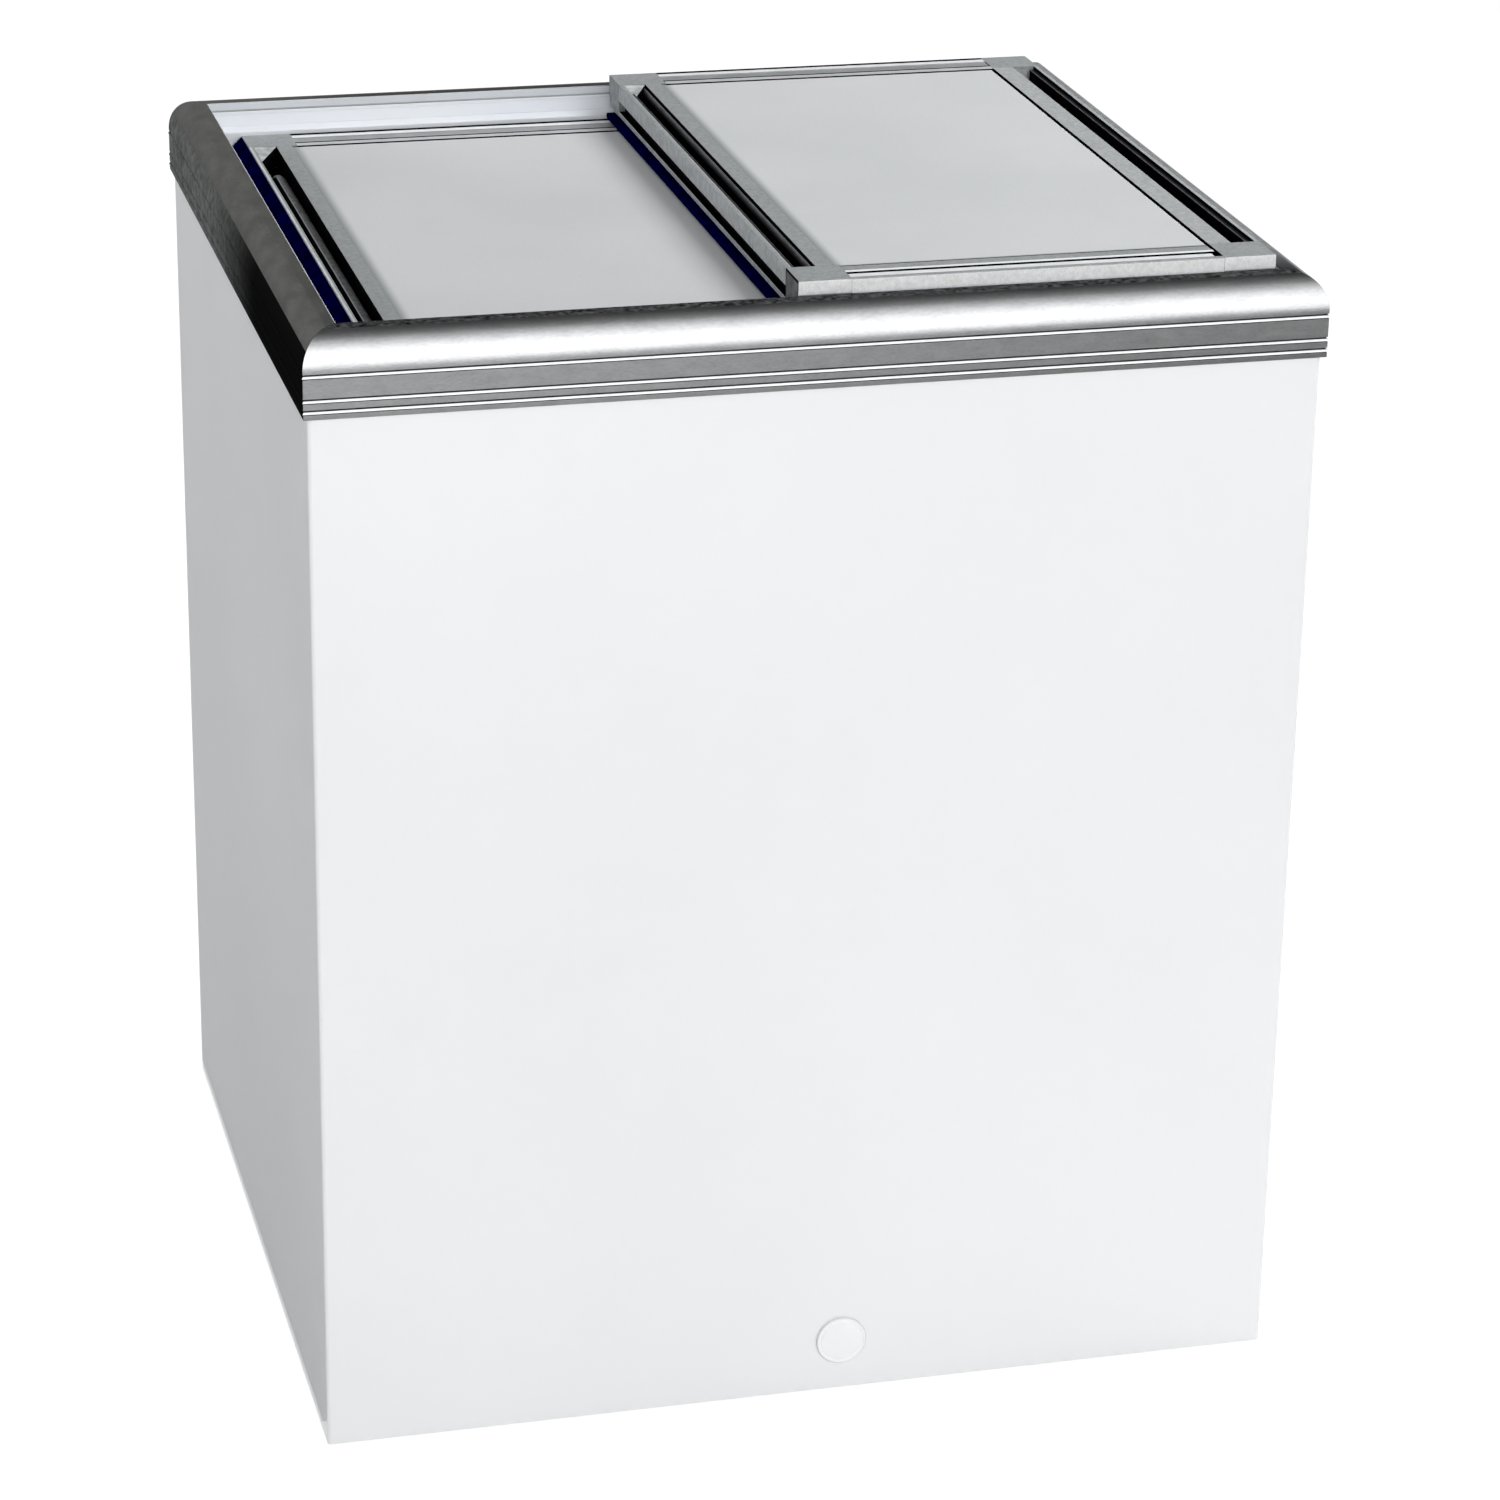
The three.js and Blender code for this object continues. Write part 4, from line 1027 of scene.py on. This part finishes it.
# Edge profiles: distances count inwards from the lid's front or rear face.
edgeStrip = {
    "width": 31.5,
    "strip": (4.4, 11.6),
    "groove": (11.4, 16.0),
    "grooveDepth": 4.5,
    "line": 20.2,
    "step": 22,
    "stepDrop": 0.35,
    "endGap": 0.2,
    "notch": (6.3, 2.4),  # gap beside the right block at the strip, and behind it
    "runner": (3, 10.5, 2.7),  # start, end and drop of the runner underneath
    "rear": {"lip": 0.12, "white": (5.6, 12.8), "band": 0.5, "dark": (24.4, 28.6),
             "darkDepth": 2.2, "last": 0.05, "width": 36.4},
}


def bottomRunner(width):
    thick = grip["thick"]
    r0, r1, drop = edgeStrip["runner"]
    return [(width, -thick), (r1, -thick), (r1, -thick - drop), (r0, -thick - drop), (r0, -thick)]


def edgeBar(points, width, length):
    end = grip["width"] + edgeStrip["endGap"]
    return bar(points + bottomRunner(width), end, length - end, 0)


def frontEdgeShape(length):
    e = edgeStrip
    g0, g1 = e["groove"]
    deep = -e["grooveDepth"]
    points = [
        (0, -grip["thick"]), (0, 0), (g0, 0), (g0 + 0.2, deep), (g1 - 0.2, deep), (g1, 0),
        (e["step"], 0), (e["step"] + 0.4, -e["stepDrop"]), (e["width"], -e["stepDrop"]),
    ]
    shape = edgeBar(points, e["width"], length)
    # The pale strip and the white line are painted highlights.
    for at in (e["strip"][0], e["line"]):  # ends of the pale strip and of the white line
        addEdgesAt(shape, 1, at)
    roundAlong(shape, 0, [(0, 0)], 0.5, 3)
    # Painted shade in the groove, painted highlights on the strip and line, painted light on the
    # front face.
    paintBox(shape, 1, y=(g0 + 0.05, g1 + 0.05), z=(deep - 0.5, -0.3))
    paintBox(shape, 2, y=(e["strip"][0], g0), z=(-0.2, 0.1))
    paintBox(shape, 4, y=(g1, e["line"]), z=(-0.2, 0.1))
    paintBox(shape, 3, y=(-0.1, 0.4), z=(-30, -0.45))
    return shape


# The plan of the gap between the front edge and the right block; its faces are painted shade.
def notchShape(length):
    e = edgeStrip
    wide, slim = e["notch"]
    right = length - grip["width"]
    start = e["strip"][0] - 0.4
    end = e["width"] + 1
    plan = [
        (right + 1, start), (right - wide, start), (right - wide, e["groove"][0] + 0.6),
        (right - slim, e["groove"][1]), (right - slim, end), (right + 1, end),
    ]
    shape = bar(plan, -6, 1, 2)
    paintAll(shape, 1)
    return shape


# The rear edge has a low lip and a groove along its length; the lip, the groove and the inner wall
# carry painted shade, the flat before the grey band and the flat after the groove painted
# highlight lines.
def rearEdgeShape(length):
    rear = edgeStrip["rear"]
    w0, w1 = rear["white"]
    d0, d1 = rear["dark"]
    wide, lip, band, last = rear["width"], -rear["lip"], -rear["band"], -rear["last"]
    points = [
        (0, -grip["thick"]), (0, lip), (w0 - 0.3, lip), (w0, 0), (w1, 0), (w1 + 0.3, band),
        (d0, band), (d0 + 0.2, -rear["darkDepth"]), (d1 - 0.2, -rear["darkDepth"]),
        (d1, last), (wide, last),
    ]
    shape = edgeBar(points, wide, length)
    paintBox(shape, 1, y=(-0.1, w0 - 0.35), z=(-3, lip + 0.05))
    paintBox(shape, 1, y=(wide - 0.1, wide + 0.1), z=(1 - grip["thick"], -0.1))
    paintBox(shape, 2, y=(w0 - 0.2, w1), z=(-0.9, 0.1))
    paintBox(shape, 5, y=(w1 + 0.1, d0), z=(band - 0.1, 0.1))
    paintBox(shape, 1, y=(d0 + 0.05, d1 + 0.05), z=(-2.5, -0.1))
    paintBox(shape, 6, y=(d1, wide), z=(-0.2, 0.1))
    return shape


def buildEdge(lid, length, half, left, top, side):
    front = side == "front"
    shape = frontEdgeShape(length) if front else flip(rearEdgeShape(length), 1, -1)
    move(shape, left, -half if front else half, top)
    piece = makePiece("%s_%s_profile" % (lid, side), shape, lid,
                      ["%s_%s_edge" % (lid, side)],
                      [lidFrame, paintedShadeBlack, stripPaintedHighlight, frontFacePaintedLight, linePaintedHighlight, bandGreyAndRodHighlight,
                       greyLinePaintedHighlight])
    if front:
        cutAway(piece, move(notchShape(length), left, -half, top))


cornerPiece = {
    "length": 34.5,
    "round": 18,
    # The front left block's outer face carries margins of painted shade of these widths.
    "frame": (1.2, 1.9),  # dark margins of a side face, at its end and along its top
    "edge": 0.5,
    "overlap": 0.6,  # how far a scoop or slope runs into its block
    "clear": 0.4,  # above the channel's floor
    "scoop": 22,
    "slope": 33,
    "slopeFall": 0.12,
}


def cornerShape(dark):
    c = cornerPiece
    thick, wide, long = grip["thick"], grip["width"], c["length"]
    endMargin, topMargin = c["frame"]
    shape = bar([(0, -thick), (long, -thick), (long, 0), (0, 0)], 0, wide, 0)
    roundAlong(shape, 0, [(0, -thick)], c["round"], 10)
    # Painted light on the front face; painted shade on the outer face and on the inner face.
    paintBox(shape, 1, y=(-0.1, 0.4), z=(-thick, -0.5))
    addEdgesAt(shape, 1, long - endMargin)
    addEdgesAt(shape, 2, -topMargin)
    outer, inner = (-0.1, 0.1), (wide - 0.1, wide + 0.1)
    paintBox(shape, 2, x=outer, z=(-thick, 0))
    paintBox(shape, 4, x=inner, z=(-thick, -0.1))
    # The front left block's outer face also gets painted shade margins at its end and along its
    # top.
    if dark:
        paintBox(shape, 4, x=outer, y=(long - endMargin, long), z=(-thick, 0))
        paintBox(shape, 4, x=outer, z=(-topMargin, 0))
    near = 0.01 * mm
    chosen = [e for e in shape.edges if all(v.co.z > -near for v in e.verts)
              and (all(v.co.y < near for v in e.verts) or all(v.co.x < near for v in e.verts))]
    bevelEdges(shape, chosen, c["edge"], 3)
    return shape


# The curved scoop that closes the end of the finger channel.
def scoopShape(stepped):
    c = cornerPiece
    start = c["length"] - c["overlap"]
    depth = grip["depth"] - c["clear"]
    size = c["scoop"]
    drop = [(start, -0.3)]
    for step in range(9):
        turn = math.radians(8 + step * 6.5)
        drop.append((c["length"] + size * (1 - math.cos(turn)),
                     max(-size * math.sin(turn), -depth)))
    drop.append((start, -depth))
    left = grip["outerLedge"] if stepped else grip["bar"]
    right = grip["innerLedge"] if stepped else grip["straightEnd"]
    return bar(drop, left + 0.1, right - 0.1, 0)


# A rear left scoop is a three-cornered slope that runs on along the bar; its upward faces are
# painted light, the others painted shade.
def slopeShape(stepped):
    c = cornerPiece
    start = c["length"] - c["overlap"]
    left = grip["bar"] + 0.1
    right = (grip["flange"] if stepped else grip["straightEnd"]) - 0.1
    plan = [(left, start), (right, start), (right, start + 1.2), (left, start + c["slope"])]
    shape = bar(plan, -grip["depth"] + c["clear"], -c["clear"], 2)
    for v in shape.verts:
        if v.co.z > -1 * mm:
            v.co.z -= (v.co.y - start * mm) * c["slopeFall"]
    for face in shape.faces:
        face.material_index = 3 if face.normal.z > 0.5 else 4
    return shape


lidPanel = {
    "seam": 2.6,
    "rearSeam": 3.4,
    "gap": 0.04,
    "blockGap": (0.24, 0.2),
    "edge": 1.0,
    "fade": 9,
}


# The panel meets the left grip and the front edge without a seam, the other two with one.
def panelShape(length, half):
    p = lidPanel
    thick = grip["thick"]
    x0 = grip["flangeEnd"] + p["gap"]
    x1 = length - grip["width"] - p["seam"]
    y0 = -half + edgeStrip["width"] + p["gap"]
    y1 = half - edgeStrip["rear"]["width"] - p["rearSeam"]
    xBlock = grip["width"] + p["blockGap"][0]
    yBlock = -half + cornerPiece["length"] + p["blockGap"][1]
    plan = [(xBlock, y0), (x1, y0), (x1, y1), (x0, y1), (x0, yBlock), (xBlock, yBlock)]
    shape = bar(plan, -thick, -0.02, 2)
    chosen = []
    for e in shape.edges:
        ends = [v.co / mm for v in e.verts]
        if all(v.z > -0.1 for v in ends) and (all(v.x > x1 - 0.1 for v in ends)
                                              or all(v.y > y1 - 0.1 for v in ends)):
            chosen.append(e)
    bevelEdges(shape, chosen, p["edge"], 3)
    # Painted shade on the sides and underside, where the seams show; a painted highlight on the
    # right and rear bevels.
    bevelFoot = -p["edge"] - 0.05
    paintBox(shape, 1, z=(-thick - 1, bevelFoot))
    paintBox(shape, 2, x=(x1 - 0.9, x1 + 1), z=(bevelFoot, 0.1))
    paintBox(shape, 2, y=(y1 - 0.9, y1 + 1), z=(bevelFoot, 0.1))
    return shape


def buildLid(lid):
    half = -nodeBox(lid + "_front_edge")[0].y
    left = nodeBox(lid + "_left_grip")[0].x
    right = nodeBox(lid + "_right_grip")[1].x
    length = right - left
    top = nodeBox(lid + "_panel")[1].z
    # The sheet darkens towards its left and front edges: painted shade, fading in over fade mm
    # from the left and half that from the front.
    near = (left + grip["flangeEnd"]) * mm
    front = (-half + edgeStrip["width"] - 1) * mm
    fade = lidPanel["fade"] * mm
    sheet = newFinish(lid + "Sheet", {**lidSheet, "shadeFades": (
        ("X", near - 0.001, near + fade), ("Y", front, front + 0.5 * fade))})
    makePiece(lid + "_sheet", move(panelShape(length, half), left, 0, top), lid,
              [lid + "_panel"], [sheet, paintedShadeBlack, linePaintedHighlight], smooth=shading["sheet"])
    innerHalf = half - cornerPiece["length"] - 0.15
    withRod = lid == "lower_lid"
    for side, sx in (("left", 1), ("right", -1)):
        straight = withRod and sx > 0
        shape = straightGripShape(innerHalf) if straight else gripShape(innerHalf, sx < 0)
        move(flip(shape, sx, 1), left if sx > 0 else right, 0, top)
        makePiece("%s_%s_grip_profile" % (lid, side), shape, lid,
                  ["%s_%s_grip" % (lid, side)],
                  [lidFrame, paintedShadeBlack, beadPaintedShade, arrisPaintedHighlight, sideFacePaintedLight, gripPaintedLight, ledgeShade,
                   beadPaintedHighlight])
    if withRod:
        makePiece(lid + "_pull_rod", move(pullRodShape(), left, 0, top), lid,
                  [lid + "_left_grip"], [rodGrey, bandGreyAndRodHighlight, paintedShadeBlack],
                  smooth=shading["rod"])
    buildEdge(lid, length, half, left, top, "front")
    buildEdge(lid, length, half, left, top, "rear")
    for place, sx, sy in (
        ("front_left", 1, 1), ("front_right", -1, 1), ("rear_left", 1, -1), ("rear_right", -1, -1),
    ):
        stepped = not withRod or sx < 0
        shape = cornerShape(place == "front_left")
        addShape(shape, slopeShape(stepped) if place == "rear_left" else scoopShape(stepped))
        flip(shape, sx, sy)
        move(shape, left if sx > 0 else right, -sy * half, top)
        # Painted shade on the blocks' outer faces, darkest on the front left block.
        sideFinish = sideShade if place == "front_left" else sideFacePaintedShade
        makePiece("%s_%s_corner" % (lid, place), shape, lid,
                  ["%s_block_%s" % (lid, place)],
                  [lidFrame, frontFacePaintedLight, sideFinish, scoopPaintedLight, paintedShadeBlack])


seal = {"slopeEdge": 0.5, "wiperReach": 1.2, "wiperTaper": 2, "wiperEdge": 0.8}


def buildSeals():
    low, high = nodeBox("lower_lid_seal")
    slopeStart = high.z - (high.x - low.x)
    section = [(high.x, low.z), (high.x, high.z), (low.x, slopeStart), (low.x, low.z)]
    shape = bar(section, low.y, high.y, 1)
    soften(shape, seal["slopeEdge"], 2)
    makePiece("lower_lid_slope_seal", shape, "lower_lid", ["lower_lid_seal"],
              [navyRubberAndShade])
    low, high = nodeBox("upper_lid_seal")
    reach = low.x - seal["wiperReach"]
    section = [(reach, low.z), (reach, high.z), (high.x, high.z),
               (high.x - seal["wiperTaper"], low.z)]
    shape = bar(section, low.y, high.y, 1)
    soften(shape, seal["wiperEdge"], 3)
    makePiece("upper_lid_wiper_seal", shape, "upper_lid", ["upper_lid_seal"],
              [navyRubberAndShade])


# Turned outlines, as radius and height; each is closed by the axis.
drain = {
    "cap": [(0, -20), (7, -20), (7.8, -19), (7.8, 0), (18.6, 0), (19, 0.4), (19, 0.9),
            (18.2, 1.7), (17.0, 1.7), (16.4, 1.0), (15.8, 1.0), (15.2, 1.8), (14.4, 2.05),
            (0, 2.2)],
    "capFace": 2.2,
    # Faces beyond capRing get the cap's ring of painted shade.
    "capRing": 18.4,  # the cap's outer ring starts here
    "plug": [(0, -14), (7, -14), (7.8, -13), (7.8, 0), (15.4, 0), (16, 0.6), (16, 1.9),
             (15.2, 2.5), (5.4, 3.4), (4.2, 4.4), (4, 6.6), (5.6, 8.6), (6, 9.8), (5.2, 10.8),
             (0, 11)],
    "plugHigh": 11,
}


def buildDrain():
    low, high = nodeBox("drain_cap")
    cap = turned(drain["cap"], 96)
    for face in cap.faces:
        if face.calc_center_median().xy.length > drain["capRing"] * mm:
            face.material_index = 1
    turnX(cap, 90)
    move(cap, (low.x + high.x) / 2, low.y + drain["capFace"], (low.z + high.z) / 2)
    makePiece("drain_cap_disc", cap, "drain_cap", ["drain_cap"],
              [whitePlastic, capRingPaintedShade])
    low, high = nodeBox("tank_drain_plug")
    plug = turned(drain["plug"], 64)
    move(plug, (low.x + high.x) / 2, (low.y + high.y) / 2, high.z - drain["plugHigh"])
    makePiece("tank_plug_turned", plug, "tank_drain_plug", ["tank_drain_plug"],
              [whitePlastic])


buildPanels()
print("cabinet panels done")
buildRim()
print("rim done")
buildLid("upper_lid")
buildLid("lower_lid")
buildSeals()
print("lids done")
buildDrain()
print("drain done")

# Finishes of the CAD nodes that stay, by the record's slots.
keptFinishes = {
    "zinc_steel": zincSheet, "copper": copperTube, "foam": castFoam, "tank_skin": tankWhite,
    "white_plastic": whitePlastic, "black_plastic": blackPlastic, "black_paint": blackEnamel,
    "rubber": blackRubber, "white_paint": whitePaint,
}
for entry in frame["record"]["subparts"]:
    node = frame["nodes"][entry["node"]]
    if not node.hide_render:
        node.data.materials.clear()
        node.data.materials.append(keptFinishes[entry["material_slot"]])
print("kept nodes finished")
